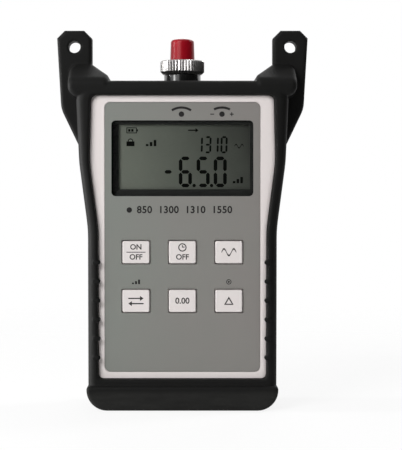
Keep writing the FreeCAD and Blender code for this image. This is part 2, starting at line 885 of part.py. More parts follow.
def make_rear_case():
    body = new_body("rear_case")
    outline = front_sketch(body, ZERO)
    draw_outline(outline, even_outline(ZERO))
    pad(body, outline, d.rear_depth, reverse=True)
    dress_edges(body, "Fillet", d.rear_edge_radius, at_depth(d.rear_depth))
    inside = front_sketch(body, ZERO)
    draw_outline(inside, even_outline(-d.case_wall))
    pocket(body, inside, d.rear_depth - d.case_wall)
    bay = front_sketch(body, d.rear_depth - d.case_wall / 2)
    half = door_half + d.door_gap + d.bay_wall
    margin = d.door_gap + d.bay_wall
    draw_rectangle(bay, -half, half, door_bottom - margin, door_top + margin)
    pad(body, bay, d.rear_depth - d.case_wall / 2 - bay_floor + d.bay_wall)
    tubes = front_sketch(body, d.rear_depth - d.case_wall / 2)
    for across, height in case_screw_spots:
        draw_circle(tubes, across, height, d.case_head_diameter + d.bay_wall * 2)
    pad(body, tubes, d.rear_depth - d.case_wall / 2)
    room = front_sketch(body, bay_floor)
    draw_rectangle(room, -bay_half, bay_half, bay_bottom, bay_top)
    pocket(body, room, d.rear_depth - bay_floor)
    rebate = front_sketch(body, door_inner - d.seat_gap)
    half = door_half + d.door_gap
    draw_rectangle(rebate, -half, half, door_bottom - d.door_gap, door_top + d.door_gap, d.door_radius)
    pocket(body, rebate, d.door_thickness + d.seat_gap)
    relief = front_sketch(body, door_inner - d.door_hinge_relief)
    draw_rectangle(relief, -half, half, door_bottom - d.door_gap, bay_bottom)
    pocket(body, relief, d.door_thickness + d.door_hinge_relief)
    pin_reach = door_half + d.door_pin_length + d.door_gap
    pin_holes = hinge_sketch(body, pin_reach, d.door_pin_diameter + d.door_pin_gap * 2)
    pocket(body, pin_holes, pin_reach * 2, reverse=True)
    holes = front_sketch(body, ZERO)
    for across, height in case_screw_spots:
        draw_circle(holes, across, height, d.case_screw_diameter + d.screw_gap * 2)
    pocket(body, holes, d.rear_depth)
    sinks = front_sketch(body, d.rear_depth - d.case_head_sink)
    for across, height in case_screw_spots:
        draw_circle(sinks, across, height, d.case_head_diameter + d.screw_gap * 2)
    pocket(body, sinks, d.case_head_sink)
    notch_top_wall(body)
    return body


def make_battery_door():
    body = new_body("battery_door")
    plate = front_sketch(body, door_inner)
    draw_outline(plate, both_sides([(door_half, door_bottom, None), (door_half, door_top, d.door_radius)]))
    pad(body, plate, d.door_thickness, reverse=True)
    dress_edges(body, "Fillet", d.door_hinge_radius,
                at_height(door_bottom, at_depth(door_inner, d.rear_depth)))
    pin_reach = door_half + d.door_pin_length
    pad(body, hinge_sketch(body, pin_reach, d.door_pin_diameter), pin_reach * 2)
    thumb = front_sketch(body, d.rear_depth)
    thumb_top = door_top - d.door_ledge
    draw_rectangle(thumb, -d.thumb_width / 2, d.thumb_width / 2, thumb_top - d.thumb_height, thumb_top,
                   d.thumb_height / 3)
    pocket(body, thumb, d.thumb_depth, reverse=True)
    return body


# Panel and display stack

def make_panel_overlay():
    body = new_body("panel_overlay")
    outline = front_sketch(body, face)
    draw_rectangle(outline, -panel_half, panel_half, panel_bottom, panel_top, d.panel_radius)
    window_rectangle(outline, ZERO, d.window_radius)
    pad(body, outline, d.panel_thickness, reverse=True)
    cut_key_openings(body, d.panel_thickness * 1.5)
    return body


def make_display_lens():
    body = new_body("display_lens")
    outline = front_sketch(body, panel_back)
    window_rectangle(outline, d.lens_margin, d.window_radius)
    pad(body, outline, d.lens_thickness, reverse=True)
    return body


lcd_front = lens_back + d.bezel_face
lcd_back = lcd_front + d.lcd_thickness
lcd_margin = d.lens_margin - d.bezel_wall - d.lcd_gap
lcd_half = window_half + lcd_margin
lcd_low = window_bottom - lcd_margin
lcd_high = window_top + lcd_margin


def make_lcd_bezel():
    body = new_body("lcd_bezel")
    outline = front_sketch(body, lens_back)
    window_rectangle(outline, d.lens_margin, d.window_radius)
    pad(body, outline, board_front - lens_back, reverse=True)
    nest = front_sketch(body, board_front)
    window_rectangle(nest, d.lens_margin - d.bezel_wall)
    pocket(body, nest, board_front - lcd_front, reverse=True)
    view = front_sketch(body, lens_back)
    draw_rectangle(view, -window_half + d.bezel_left, window_half - d.bezel_right,
                   window_bottom + d.bezel_bottom, window_top - d.bezel_top)
    pocket(body, view, d.bezel_face * 1.5)
    return body


def make_lcd_glass():
    """Display cell of two glass plates. The front one is taller, which leaves a ledge at each end."""
    body = new_body("lcd_glass")
    plates = front_sketch(body, lcd_front)
    window_rectangle(plates, lcd_margin)
    pad(body, plates, d.lcd_thickness, reverse=True)
    ledges = front_sketch(body, lcd_back)
    draw_rectangle(ledges, -lcd_half, lcd_half, lcd_low, lcd_low + d.lcd_ledge)
    draw_rectangle(ledges, -lcd_half, lcd_half, lcd_high - d.lcd_ledge, lcd_high)
    pocket(body, ledges, d.lcd_thickness / 2, reverse=True)
    return body


def make_contact_strips():
    """Rubber strips that press on the ledges of the display cell and stand on the board."""
    half = lcd_half - d.lcd_gap
    ledge_back = lcd_back - d.lcd_thickness / 2
    width = d.lcd_ledge - d.lcd_gap * 2
    low = lcd_low + d.lcd_gap
    high = lcd_high - d.lcd_gap
    return joined("contact_strips", [
        block("strip_low", -half, half, ledge_back, board_front, low, low + width),
        block("strip_high", -half, half, ledge_back, board_front, high - width, high),
    ], "Part::Compound")


# Keys

def make_key(label, across, height):
    body = new_body(label)
    cap = front_sketch(body, key_flange_front)
    draw_rectangle(cap, across - d.key_width / 2, across + d.key_width / 2,
                   height - d.key_height / 2, height + d.key_height / 2, d.key_radius)
    top = face - d.key_rise
    pad(body, cap, key_flange_front - top)
    dress_edges(body, "Fillet", d.key_edge_radius, at_depth(top))
    flange = front_sketch(body, key_flange_front)
    half_width = d.key_width / 2 + d.key_flange_margin
    half_height = d.key_height / 2 + d.key_flange_margin
    draw_rectangle(flange, across - half_width, across + half_width,
                   height - half_height, height + half_height, d.key_radius)
    pad(body, flange, d.key_flange, reverse=True)
    stem = front_sketch(body, key_flange_back)
    draw_circle(stem, across, height, d.key_stem_diameter)
    pad(body, stem, plunger_front - d.key_travel - d.key_stop_gap - key_flange_back, reverse=True)
    return body


# Circuit board

def make_main_board():
    body = new_body("main_board")
    outline = front_sketch(body, board_front)
    draw_rectangle(outline, -board_half, board_half, board_bottom, board_top, d.board_radius)
    for across, height in board_screw_spots:
        draw_circle(outline, across, height, d.board_screw_diameter + d.screw_gap * 2)
    pad(body, outline, d.board_thickness, reverse=True)
    return body


def make_key_switches():
    switches = []
    for name, (across, height) in key_spots.items():
        body_front = board_front - d.switch_body_height
        base = block(f"{name}_switch_base", across - d.switch_side / 2, across + d.switch_side / 2,
                     body_front, board_front, height - d.switch_side / 2, height + d.switch_side / 2)
        plunger = rod(f"{name}_plunger", d.switch_plunger_diameter, d.switch_plunger_height * 2,
                      across, plunger_front, height, along="Y")
        switches.append(joined(f"{name}_switch", [base, plunger]))
    return joined("key_switches", switches, "Part::Compound")


def make_controller_chip():
    body = new_body("controller_chip")
    outline = front_sketch(body, board_back)
    half = d.chip_side / 2
    middle = (window_bottom + window_top) / 2
    draw_rectangle(outline, -half, half, middle - half, middle + half)
    pad(body, outline, d.chip_height, reverse=True)
    dress_edges(body, "Chamfer", d.chip_height / 4, at_depth(board_back + d.chip_height))
    return body


def make_board_screws():
    screws = []
    for i, (across, height) in enumerate(board_screw_spots, 1):
        tip = board_front - d.board_screw_length
        shank = rod(f"board_shank_{i}", d.board_screw_diameter, board_back - tip,
                    across, tip, height, along="Y")
        head = rod(f"board_head_{i}", d.board_head_diameter, d.board_head_height,
                   across, board_back, height, along="Y")
        screws.append(joined(f"board_screw_{i}", [shank, head]))
    return joined("board_screws", screws, "Part::Compound")


def make_case_screws():
    screws = []
    seat = d.rear_depth - d.case_head_sink
    for i, (across, height) in enumerate(case_screw_spots, 1):
        shank = rod(f"case_shank_{i}", d.case_screw_diameter, seat + d.case_screw_bite,
                    across, -d.case_screw_bite, height, along="Y")
        head = rod(f"case_head_{i}", d.case_head_diameter, d.case_head_height,
                   across, seat, height, along="Y")
        screws.append(joined(f"case_screw_{i}", [shank, head]))
    return joined("case_screws", screws, "Part::Compound")


# Cells and their contacts

cell_across = (d.cell_diameter + d.cell_spacing) / 2


def make_cell(label, across, nub_up):
    body = new_body(label)
    profile = front_sketch(body, cell_depth, across)
    radius = d.cell_diameter / 2
    nub = d.cell_nub_diameter / 2
    if nub_up:
        flat, step, tip = cell_bottom, cell_bottom + d.cell_length, cell_top
    else:
        flat, step, tip = cell_top, cell_top - d.cell_length, cell_bottom
    draw_outline(profile, [
        (ZERO, flat, None), (radius, flat, d.cell_shoulder_radius), (radius, step, d.cell_shoulder_radius),
        (nub, step, None), (nub, tip, None), (ZERO, tip, None),
    ])
    revolve(body, profile)
    return body


def contact_leaf(label, across, wall, away):
    """Leaf with a raised crown on an end wall of the bay. away is 1 if it springs up and -1 if down."""
    body = new_body(label)
    edge_view = front_sketch(body, cell_depth - d.contact_width / 2)
    mitre = d.contact_thickness * math.tan(math.pi / 8)
    ramp = d.contact_crown + d.contact_rise
    under = d.contact_gap
    over = under + d.contact_thickness
    half_outline = [
        (d.contact_foot, under), (d.contact_foot, over), (ramp + mitre, over),
        (d.contact_crown + mitre, over + d.contact_rise),
    ]
    half_inside = [(d.contact_crown, under + d.contact_rise), (ramp, under)]
    right = [(across + reach, wall + lift * away, None) for reach, lift in half_outline]
    left = [(across - reach, wall + lift * away, None) for reach, lift in reversed(half_outline)]
    inside_left = [(across - reach, wall + lift * away, None) for reach, lift in reversed(half_inside)]
    inside_right = [(across + reach, wall + lift * away, None) for reach, lift in half_inside]
    draw_outline(edge_view, right + left + inside_left + inside_right)
    pad(body, edge_view, d.contact_width, reverse=True)
    return body


def make_bridge_contact():
    """Lower plate that joins the two cells in series."""
    low = bay_bottom + d.contact_gap
    link_half = cell_across - d.contact_foot + d.contact_thickness
    link = block("bridge_link", -link_half, link_half, cell_depth - d.contact_width / 2,
                 cell_depth + d.contact_width / 2, low, low + d.contact_thickness)
    leaves = [contact_leaf(f"bridge_leaf_{i}", across, bay_bottom, 1)
              for i, across in enumerate((-cell_across, cell_across), 1)]
    return joined("bridge_contact", [link] + leaves)


def make_terminal_contacts():
    leaves = [contact_leaf(f"terminal_leaf_{i}", across, bay_top, -1)
              for i, across in enumerate((-cell_across, cell_across), 1)]
    return joined("terminal_contacts", leaves, "Part::Compound")


# Optical port

shank_bottom = d.case_top - d.port_shank_length
thread_top = collar_top + d.port_thread_length
flange_bottom = thread_top + d.seat_gap
flange_top = flange_bottom + d.flange_height
receptacle_top = flange_top + d.receptacle_length
nut_bottom = collar_top + d.nut_floor_gap
nut_lip_bottom = flange_top + d.seat_gap
nut_top = nut_lip_bottom + d.nut_lip_height


def turned(label, profile, across=ZERO):
    """Turned piece from its half profile of (radius, height) corners, on an upright axis."""
    body = new_body(label)
    sketch = front_sketch(body, ZERO, across)
    draw_outline(sketch, [(corner + (None,))[:3] for corner in profile])
    revolve(body, sketch)
    return body


def make_port_barrel():
    bore = d.detector_bore_diameter / 2
    shank = d.port_shank_diameter / 2
    collar = d.collar_diameter / 2
    thread = d.port_thread_diameter / 2
    mouth = d.port_mouth_diameter / 2
    mouth_floor = thread_top - d.port_mouth_depth
    return turned("port_barrel", [
        (bore, shank_bottom), (shank, shank_bottom), (shank, d.case_top), (collar, d.case_top),
        (collar, collar_top), (thread, collar_top), (thread, thread_top), (mouth, thread_top),
        (mouth, mouth_floor), (bore, mouth_floor),
    ])


def make_port_nut():
    body = new_body("port_nut")
    outline = level_sketch(body, case_ceiling)
    corner = d.port_nut_flats / math.sqrt(3)
    draw_outline(outline, [
        (corner * math.cos(math.pi / 3 * i), corner * math.sin(math.pi / 3 * i), None) for i in range(6)
    ])
    draw_circle(outline, ZERO, ZERO, d.port_shank_diameter + d.screw_gap * 2)
    pad(body, outline, d.port_nut_height, reverse=True)
    return body


def make_photodiode():
    foot = shank_bottom + d.detector_sink
    step = foot + d.detector_flange_height
    rim, can = d.detector_flange_diameter / 2, d.detector_can_diameter / 2
    body = turned("photodiode", [
        (ZERO, foot), (rim, foot), (rim, step), (can, step), (can, step + d.detector_can_height),
        (ZERO, step + d.detector_can_height),
    ])
    leads = level_sketch(body, foot)
    circle = d.detector_lead_circle / 2
    for i in range(3):
        angle = math.pi * 2 / 3 * i
        draw_circle(leads, circle * math.cos(angle), circle * math.sin(angle), d.detector_lead_diameter)
    pad(body, leads, d.detector_lead_length, reverse=True)
    return body


def make_adapter_body():
    """Flanged receptacle with a ferrule sleeve in the middle and a keyway in its rim."""
    bore = d.ferrule_bore_diameter / 2
    tail = d.port_mouth_diameter / 2 - d.tail_gap
    outside = d.receptacle_diameter / 2
    inside = d.receptacle_bore_diameter / 2
    sleeve = d.sleeve_diameter / 2
    floor = flange_top + d.receptacle_floor
    sleeve_top = receptacle_top - d.sleeve_drop
    body = turned("adapter_body", [
        (bore, flange_bottom - d.tail_length), (tail, flange_bottom - d.tail_length), (tail, flange_bottom),
        (d.flange_diameter / 2, flange_bottom), (d.flange_diameter / 2, flange_top), (outside, flange_top),
        (outside, receptacle_top), (inside, receptacle_top), (inside, floor), (sleeve, floor),
        (sleeve, sleeve_top), (bore, sleeve_top),
    ])
    keyway = level_sketch(body, receptacle_top)
    draw_rectangle(keyway, -d.keyway_width / 2, d.keyway_width / 2,
                   -d.receptacle_diameter, -(inside + sleeve) / 2)
    pocket(body, keyway, d.keyway_depth)
    return body


def make_coupling_nut():
    """Knurled nut that draws the receptacle's flange down on the barrel."""
    thread = d.port_thread_diameter / 2 + d.nut_thread_gap
    outside = d.nut_diameter / 2
    lip = d.receptacle_diameter / 2 + d.nut_lip_gap
    body = turned("coupling_nut", [
        (thread, nut_bottom), (outside - d.nut_bottom_chamfer, nut_bottom),
        (outside, nut_bottom + d.nut_bottom_chamfer), (outside, nut_top - d.nut_top_chamfer),
        (outside - d.nut_top_chamfer, nut_top), (lip, nut_top), (lip, nut_lip_bottom),
        (thread, nut_lip_bottom),
    ])
    notch = level_sketch(body, nut_top)
    draw_outline(notch, [
        (outside - d.flute_depth, ZERO, None), (outside + d.flute_depth, -d.flute_width, None),
        (outside + d.flute_depth, d.flute_width, None),
    ])
    flute = pocket(body, notch, nut_top - nut_bottom)
    pattern = body.newObject("PartDesign::PolarPattern", "Knurl")
    pattern.Originals = [flute]
    pattern.Axis = (notch, ["N_Axis"])
    pattern.Angle = 360
    bind(pattern, "Occurrences", d.flute_count)
    body.Tip = pattern
    doc.recompute()
    return body


def make_dust_cap():
    bottom = nut_top + d.cap_gap
    bore = d.receptacle_diameter / 2 + d.cap_bore_gap
    roof = receptacle_top + d.cap_bore_gap
    top = roof + d.cap_roof
    return turned("dust_cap", [
        (bore, bottom), (d.cap_base_diameter / 2, bottom), (d.cap_top_diameter / 2, top, d.cap_edge_radius),
        (ZERO, top), (ZERO, roof), (bore, roof),
    ])


def make_dc_jack():
    """Round supply socket with a centre pin, held by its flange under the top wall."""
    top = d.case_top + d.jack_proud
    bottom = top - d.jack_length
    floor = top - d.jack_bore_depth
    barrel, flange = d.jack_diameter / 2, d.jack_flange_diameter / 2
    bore, pin = d.jack_bore_diameter / 2, d.jack_pin_diameter / 2
    flange_low = case_ceiling - d.jack_flange_height
    return turned("dc_jack", [
        (ZERO, bottom), (barrel, bottom), (barrel, flange_low), (flange, flange_low),
        (flange, case_ceiling), (barrel, case_ceiling), (barrel, top), (bore, top),
        (bore, floor), (pin, floor),
        (pin, top - d.jack_pin_drop), (ZERO, top - d.jack_pin_drop),
    ], d.jack_across)


# Build every piece, check the document and write the files

pieces = [
    make_boot(), make_front_case(), make_rear_case(), make_battery_door(), make_panel_overlay(),
    make_display_lens(), make_lcd_bezel(), make_lcd_glass(), make_contact_strips(), make_main_board(),
    make_key_switches(), make_controller_chip(), make_board_screws(), make_case_screws(),
    make_cell("cell_left", -cell_across, True), make_cell("cell_right", cell_across, False),
    make_bridge_contact(), make_terminal_contacts(), make_port_barrel(), make_port_nut(), make_photodiode(),
    make_adapter_body(), make_coupling_nut(), make_dust_cap(), make_dc_jack(),
]
pieces += [make_key(name, across, height) for name, (across, height) in key_spots.items()]

doc.recompute()
for item in doc.Objects:
    if "Invalid" in item.State or "Error" in item.State:
        raise RuntimeError(f"{item.Label} failed: {item.State}")
for piece in pieces:
    if piece.Shape.isNull() or not piece.Shape.isValid() or not piece.Shape.Solids:
        raise RuntimeError(f"{piece.Label} has no valid solid")

os.makedirs("parts", exist_ok=True)
for piece in pieces:
    piece.Shape.exportStep(f"parts/{piece.Label}.step")
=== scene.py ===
import math

import bmesh
import bpy
from mathutils import Matrix, Vector


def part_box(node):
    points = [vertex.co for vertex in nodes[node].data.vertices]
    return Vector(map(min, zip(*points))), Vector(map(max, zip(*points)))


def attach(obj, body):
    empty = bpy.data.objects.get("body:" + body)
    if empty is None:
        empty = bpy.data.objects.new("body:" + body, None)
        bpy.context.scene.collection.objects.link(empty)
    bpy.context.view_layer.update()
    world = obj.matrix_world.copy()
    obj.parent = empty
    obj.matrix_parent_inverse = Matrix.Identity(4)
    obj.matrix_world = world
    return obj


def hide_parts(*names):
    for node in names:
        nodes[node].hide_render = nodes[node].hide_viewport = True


# Handheld optical power meter: finishes, print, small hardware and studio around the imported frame
# The object's sizes are written in millimetres and scaled by MM, the studio's in metres

MM = 0.001
KEYS = ("power", "auto_off", "wavelength", "units", "zero", "reference")

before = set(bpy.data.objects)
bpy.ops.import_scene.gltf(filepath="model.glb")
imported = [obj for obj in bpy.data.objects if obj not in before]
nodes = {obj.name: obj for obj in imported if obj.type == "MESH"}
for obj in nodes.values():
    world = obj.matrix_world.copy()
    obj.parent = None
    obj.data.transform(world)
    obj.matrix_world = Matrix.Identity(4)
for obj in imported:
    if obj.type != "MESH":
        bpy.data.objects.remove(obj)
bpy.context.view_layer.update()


# Node trees as Python expressions

class Value:
    """A socket in a node tree. Arithmetic on it adds Math nodes."""

    def __init__(self, graph, socket):
        self.graph = graph
        self.socket = socket

    def math(self, operation, first, second=0.0):
        return self.graph.add("ShaderNodeMath", {"operation": operation}, {0: first, 1: second})

    def __add__(self, other):
        return self.math("ADD", self, other)

    def __radd__(self, other):
        return self.math("ADD", other, self)

    def __sub__(self, other):
        return self.math("SUBTRACT", self, other)

    def __rsub__(self, other):
        return self.math("SUBTRACT", other, self)

    def __mul__(self, other):
        return self.math("MULTIPLY", self, other)

    def __rmul__(self, other):
        return self.math("MULTIPLY", other, self)

    def __truediv__(self, other):
        return self.math("DIVIDE", self, other)

    def __mod__(self, other):
        return self.math("FLOORED_MODULO", self, other)

    def __gt__(self, other):
        return self.math("GREATER_THAN", self, other)

    def __lt__(self, other):
        return self.math("LESS_THAN", self, other)

    def whole(self):
        return self.math("FLOOR", self)

    def size(self):
        return self.math("ABSOLUTE", self)

    def root(self):
        return self.math("SQRT", self)

    def sine(self):
        return self.math("SINE", self)

    def cosine(self):
        return self.math("COSINE", self)

    def clamped(self):
        return self.graph.add("ShaderNodeClamp", {}, {"Value": self})

    def sway(self, reach):
        """Noise between 0 and 1, turned into a swing about 0 that is as wide as the reach."""
        return (self - 0.5) * reach


class Graph:
    """A node tree that grows by one node at a time."""

    def __init__(self, tree):
        self.tree = tree

    def add(self, kind, settings=None, sockets=None, output=0):
        """Add a node, set it up, feed its sockets and return one of its outputs."""
        node = self.tree.nodes.new(kind)
        for name, value in (settings or {}).items():
            setattr(node, name, value)
        for name, value in (sockets or {}).items():
            self.feed(node.inputs[name], value)
        return Value(self, node.outputs[output])

    def feed(self, socket, value):
        if isinstance(value, Value):
            self.tree.links.new(value.socket, socket)
        else:
            socket.default_value = value


# Sockets of the Mix node when it mixes colours
MIX_SHARE, MIX_FIRST, MIX_SECOND, MIX_RESULT = 0, 6, 7, 2

BEVEL_SAMPLES = 6
WEAR_GAIN = 2.0


class Finish(Graph):
    """A material around one Principled shader."""

    def __init__(self, name, **constants):
        self.material = bpy.data.materials.new(name)
        self.material.use_nodes = True
        super().__init__(self.material.node_tree)
        self.shader = self.tree.nodes["Principled BSDF"]
        for label, value in constants.items():
            self.shader.inputs[label.replace("_", " ")].default_value = value
        self.place = self.add("ShaderNodeTexCoord", output="Object")

    def drive(self, socket, value):
        self.feed(self.shader.inputs[socket], value)

    def noise(self, grain, detail=2.0, stretch=None):
        """Noise whose grains are about as large as the given millimetres."""
        vector = self.place
        if stretch:
            vector = self.add("ShaderNodeMapping", {}, {"Vector": vector, "Scale": stretch})
        sockets = {"Vector": vector, "Scale": 1 / (grain * MM), "Detail": detail}
        return self.add("ShaderNodeTexNoise", {}, sockets)

    def mix(self, share, first, second):
        """Colour between two colours, by a share from 0 to 1."""
        first, second = (colour if isinstance(colour, Value) else (*colour, 1.0)
                         for colour in (first, second))
        sockets = {MIX_SHARE: share, MIX_FIRST: first, MIX_SECOND: second}
        return self.add("ShaderNodeMix", {"data_type": "RGBA"}, sockets, MIX_RESULT)

    def along(self, axis):
        """Object coordinate along X, Y or Z, in millimetres."""
        return self.add("ShaderNodeSeparateXYZ", {}, {0: self.place}, axis) * (1 / MM)

    def rounded(self, radius):
        """Normal that eases sharp edges over a radius in millimetres."""
        return self.add("ShaderNodeBevel", {"samples": BEVEL_SAMPLES}, {"Radius": radius * MM})

    def worn_edges(self, rounded):
        """Mask of worn edges: where the eased normal leaves the true one, in patches."""
        normal = self.add("ShaderNodeNewGeometry", output="Normal")
        alike = self.add("ShaderNodeVectorMath", {"operation": "DOT_PRODUCT"},
                         {0: rounded, 1: normal}, "Value")
        return ((1.0 - alike) * WEAR_GAIN).clamped() * self.noise(4.0, 4.0)

    def bump(self, height, depth, normal=None):
        """Normal over a relief of the given depth in millimetres."""
        sockets = {"Height": height, "Distance": depth * MM}
        if normal is not None:
            sockets["Normal"] = normal
        return self.add("ShaderNodeBump", {}, sockets)


def scaled(colour, factor):
    return tuple(channel * factor for channel in colour)


def grey(level):
    return (level, level, level)


# Finishes, with grains, reliefs and places in millimetres

SLOW_SHIFT = {"grain": 22.0, "detail": 3.0}


def moulded(name, colour, roughness, grain, depth, shade, worn=None, ease=0.25, **constants):
    """Moulded plastic: fine mould grain, slow shifts of shade and, if given, worn edges."""
    finish = Finish(name, **constants)
    fine = finish.noise(grain)
    broad = finish.noise(**SLOW_SHIFT)
    eased = finish.rounded(ease)
    colouring = finish.mix(broad, scaled(colour, 1 - shade), scaled(colour, 1 + shade))
    if worn:
        colouring = finish.mix(finish.worn_edges(eased), colouring, worn)
    finish.drive("Base Color", colouring)
    finish.drive("Roughness", roughness + fine.sway(0.2) + broad.sway(0.15))
    finish.drive("Normal", finish.bump(fine, depth, eased))
    return finish.material


def scuffed_and_highlit_rubber():
    """Black rubber: mould grain, slow shifts of shade, worn edges, bumper scuffs and painted
    highlight.
    """
    deep_black, pale_black = (0.0047, 0.0047, 0.0044), (0.0073, 0.0073, 0.0070)
    worn_grey, scuff_and_highlight_grey = (0.014, 0.014, 0.013), (0.020, 0.020, 0.019)
    wear_radius, ease = 0.5, 1.8
    bumper_top, bumper_fade = 8.8, 2.0
    finish = Finish("boot_rubber", Specular_IOR_Level=0.10)
    fine = finish.noise(0.30)
    broad = finish.noise(**SLOW_SHIFT)
    streaks = finish.noise(1.6, 4.0, (0.2, 1.0, 1.0))
    # The bumper is painted lighter grey below its top: partly scuffs, partly painted highlight for
    # light falling on the bumper's face.
    on_bumper = ((bumper_top - finish.along("Z")) / bumper_fade).clamped()
    scuffs = (on_bumper * (0.1 + streaks * 1.1)).clamped()
    black = finish.mix(broad, deep_black, pale_black)
    worn = finish.mix(finish.worn_edges(finish.rounded(wear_radius)), black, worn_grey)
    finish.drive("Base Color", finish.mix(scuffs, worn, scuff_and_highlight_grey))
    finish.drive("Roughness", 0.56 + fine.sway(0.2) + broad.sway(0.15) + scuffs * 0.1)
    finish.drive("Normal", finish.bump(fine, 0.030, finish.rounded(ease)))
    return finish.material


def metal(name, colour, roughness, grain=0.12, stretch=(1.0, 1.0, 0.05)):
    """Turned or pressed metal with drawn-out tool marks and faint stains."""
    finish = Finish(name, Metallic=1.0)
    marks = finish.noise(grain, stretch=stretch)
    stains = finish.noise(3.0, 4.0)
    finish.drive("Base Color", finish.mix(stains, scaled(colour, 0.88), scaled(colour, 1.06)))
    finish.drive("Roughness", roughness + marks.sway(0.15) + stains.sway(0.12))
    finish.drive("Normal", finish.bump(marks, 0.004, finish.rounded(0.15)))
    return finish.material


def printed(name, colour, roughness=0.55, gloss=0.15):
    """Ink film with slightly uneven cover."""
    finish = Finish(name, Specular_IOR_Level=gloss)
    cover = finish.noise(0.5, 3.0)
    finish.drive("Base Color", finish.mix(cover, scaled(colour, 0.8), scaled(colour, 1.25)))
    finish.drive("Roughness", roughness + cover.sway(0.2))
    return finish.material


def panel_film():
    """Printed sheet: fine matt grain, with the grey running slightly warmer to the right."""
    cool_grey, warm_grey = (0.196, 0.214, 0.192), (0.224, 0.204, 0.194)
    full_run = 110.0
    finish = Finish("panel_film")
    fine = finish.noise(0.16)
    broad = finish.noise(30.0, 3.0)
    warm = (0.5 + finish.along("X") / full_run + broad.sway(-0.6)).clamped()
    finish.drive("Base Color", finish.mix(warm, cool_grey, warm_grey))
    finish.drive("Roughness", 0.52 + fine.sway(0.2))
    finish.drive("Normal", finish.bump(fine, 0.006, finish.rounded(0.12)))
    return finish.material


def clear_lens():
    """Clear window: it mirrors more the flatter it is seen, and has faint smears."""
    least_gloss, rim_gloss, smear_gloss = 0.012, 0.6, 0.012
    finish = Finish("clear_lens", Metallic=1.0)
    smears = finish.noise(9.0, 4.0)
    facing = finish.add("ShaderNodeLayerWeight", {}, {"Blend": 0.5}, "Facing")
    squared = facing * facing
    gloss = least_gloss + squared * squared * rim_gloss
    finish.drive("Base Color", finish.mix(smears, (0.86, 0.90, 0.86), (0.95, 0.97, 0.95)))
    finish.drive("Roughness", 0.03 + smears * 0.05)
    finish.drive("Alpha", (gloss + smears * smear_gloss).clamped())
    return finish.material


def display_cell():
    """Green-grey display with fine rows and painted shade, darker to the right and the top."""
    lit, dim, row_tone = (0.140, 0.154, 0.128), (0.026, 0.028, 0.024), (0.030, 0.033, 0.030)
    middle_up, run_across, run_up = 106.0, 58.0, 140.0
    finish = Finish("display_cell", Specular_IOR_Level=0.2)
    across, up = finish.along("X"), finish.along("Z")
    cloud = finish.noise(14.0, 3.0)
    rows = finish.noise(0.25, 1.0, (0.15, 1.0, 1.0))
    # Painted shade: the colour runs from the lit tone to the dim one towards the right and the top,
    # in place of light falling off across the display.
    painted_shade = 0.40 + across / run_across + (up - middle_up) / run_up + cloud.sway(0.25)
    shade = finish.mix(painted_shade.clamped(), lit, dim)
    finish.drive("Base Color", finish.mix(rows * 0.2, shade, row_tone))
    finish.drive("Roughness", 0.35 + rows.sway(0.2))
    return finish.material


def cell_wrap():
    """Shrink sleeve of a round cell: dark body, a pale band and bare metal at both ends."""
    dark_sleeve, scuffed_sleeve = (0.030, 0.034, 0.045), (0.050, 0.055, 0.070)
    pale_band, bare_metal = (0.45, 0.45, 0.43), (0.62, 0.61, 0.58)
    sleeve_low, sleeve_high, band_low, band_high = 28.4, 77.4, 62.0, 66.0
    finish = Finish("cell_wrap", Coat_Weight=0.3)
    height = finish.along("Z")
    bare = (height < sleeve_low) + (height > sleeve_high)
    band = (height > band_low) * (height < band_high)
    scuffs = finish.noise(2.0, 4.0)
    sleeve = finish.mix(band, finish.mix(scuffs, dark_sleeve, scuffed_sleeve), pale_band)
    finish.drive("Base Color", finish.mix(bare, sleeve, bare_metal))
    finish.drive("Metallic", bare)
    finish.drive("Roughness", 0.26 + scuffs * 0.14)
    return finish.material


def circuit_board():
    """Green solder mask over a lattice of copper tracks."""
    dark_mask, pale_mask = (0.018, 0.11, 0.04), (0.024, 0.14, 0.05)
    track_green = (0.05, 0.2, 0.075)
    track_step, track_width = 1.6, 0.35
    finish = Finish("circuit_board", Coat_Weight=0.4)
    upright = (finish.along("X") % track_step) < track_width
    level = (finish.along("Z") % track_step) < track_width
    gate = finish.noise(6.0, 1.0)
    tracks = upright * (gate > 0.5) + level * (gate < 0.5)
    mask = finish.mix(finish.noise(8.0), dark_mask, pale_mask)
    finish.drive("Base Color", finish.mix(tracks.clamped(), mask, track_green))
    finish.drive("Roughness", 0.42 - tracks * 0.08)
    finish.drive("Normal", finish.bump(tracks, 0.03))
    return finish.material


def layered_rubber():
    """Contact strip: thin dark and pale layers side by side along X."""
    layer = 0.18
    finish = Finish("layered_rubber")
    dark_layers = (finish.along("X") % (2 * layer)) < layer
    speck = finish.noise(0.3)
    pale = finish.mix(speck, (0.50, 0.48, 0.44), (0.62, 0.60, 0.55))
    finish.drive("Base Color", finish.mix(dark_layers, pale, grey(0.02)))
    finish.drive("Roughness", 0.6 + speck * 0.2)
    return finish.material


def cap_vinyl():
    """Soft red vinyl: a slow shift of shade, a faint skin texture and a waxy gloss."""
    deep_red, bright_red = (0.255, 0.0025, 0.008), (0.340, 0.005, 0.014)
    finish = Finish("cap_vinyl", Specular_IOR_Level=0.2)
    skin = finish.noise(0.35)
    cloud = finish.noise(5.0, 3.0)
    finish.drive("Base Color", finish.mix(cloud, deep_red, bright_red))
    finish.drive("Roughness", 0.30 + skin.sway(0.15))
    finish.drive("Normal", finish.bump(skin, 0.008, finish.rounded(0.3)))
    return finish.material


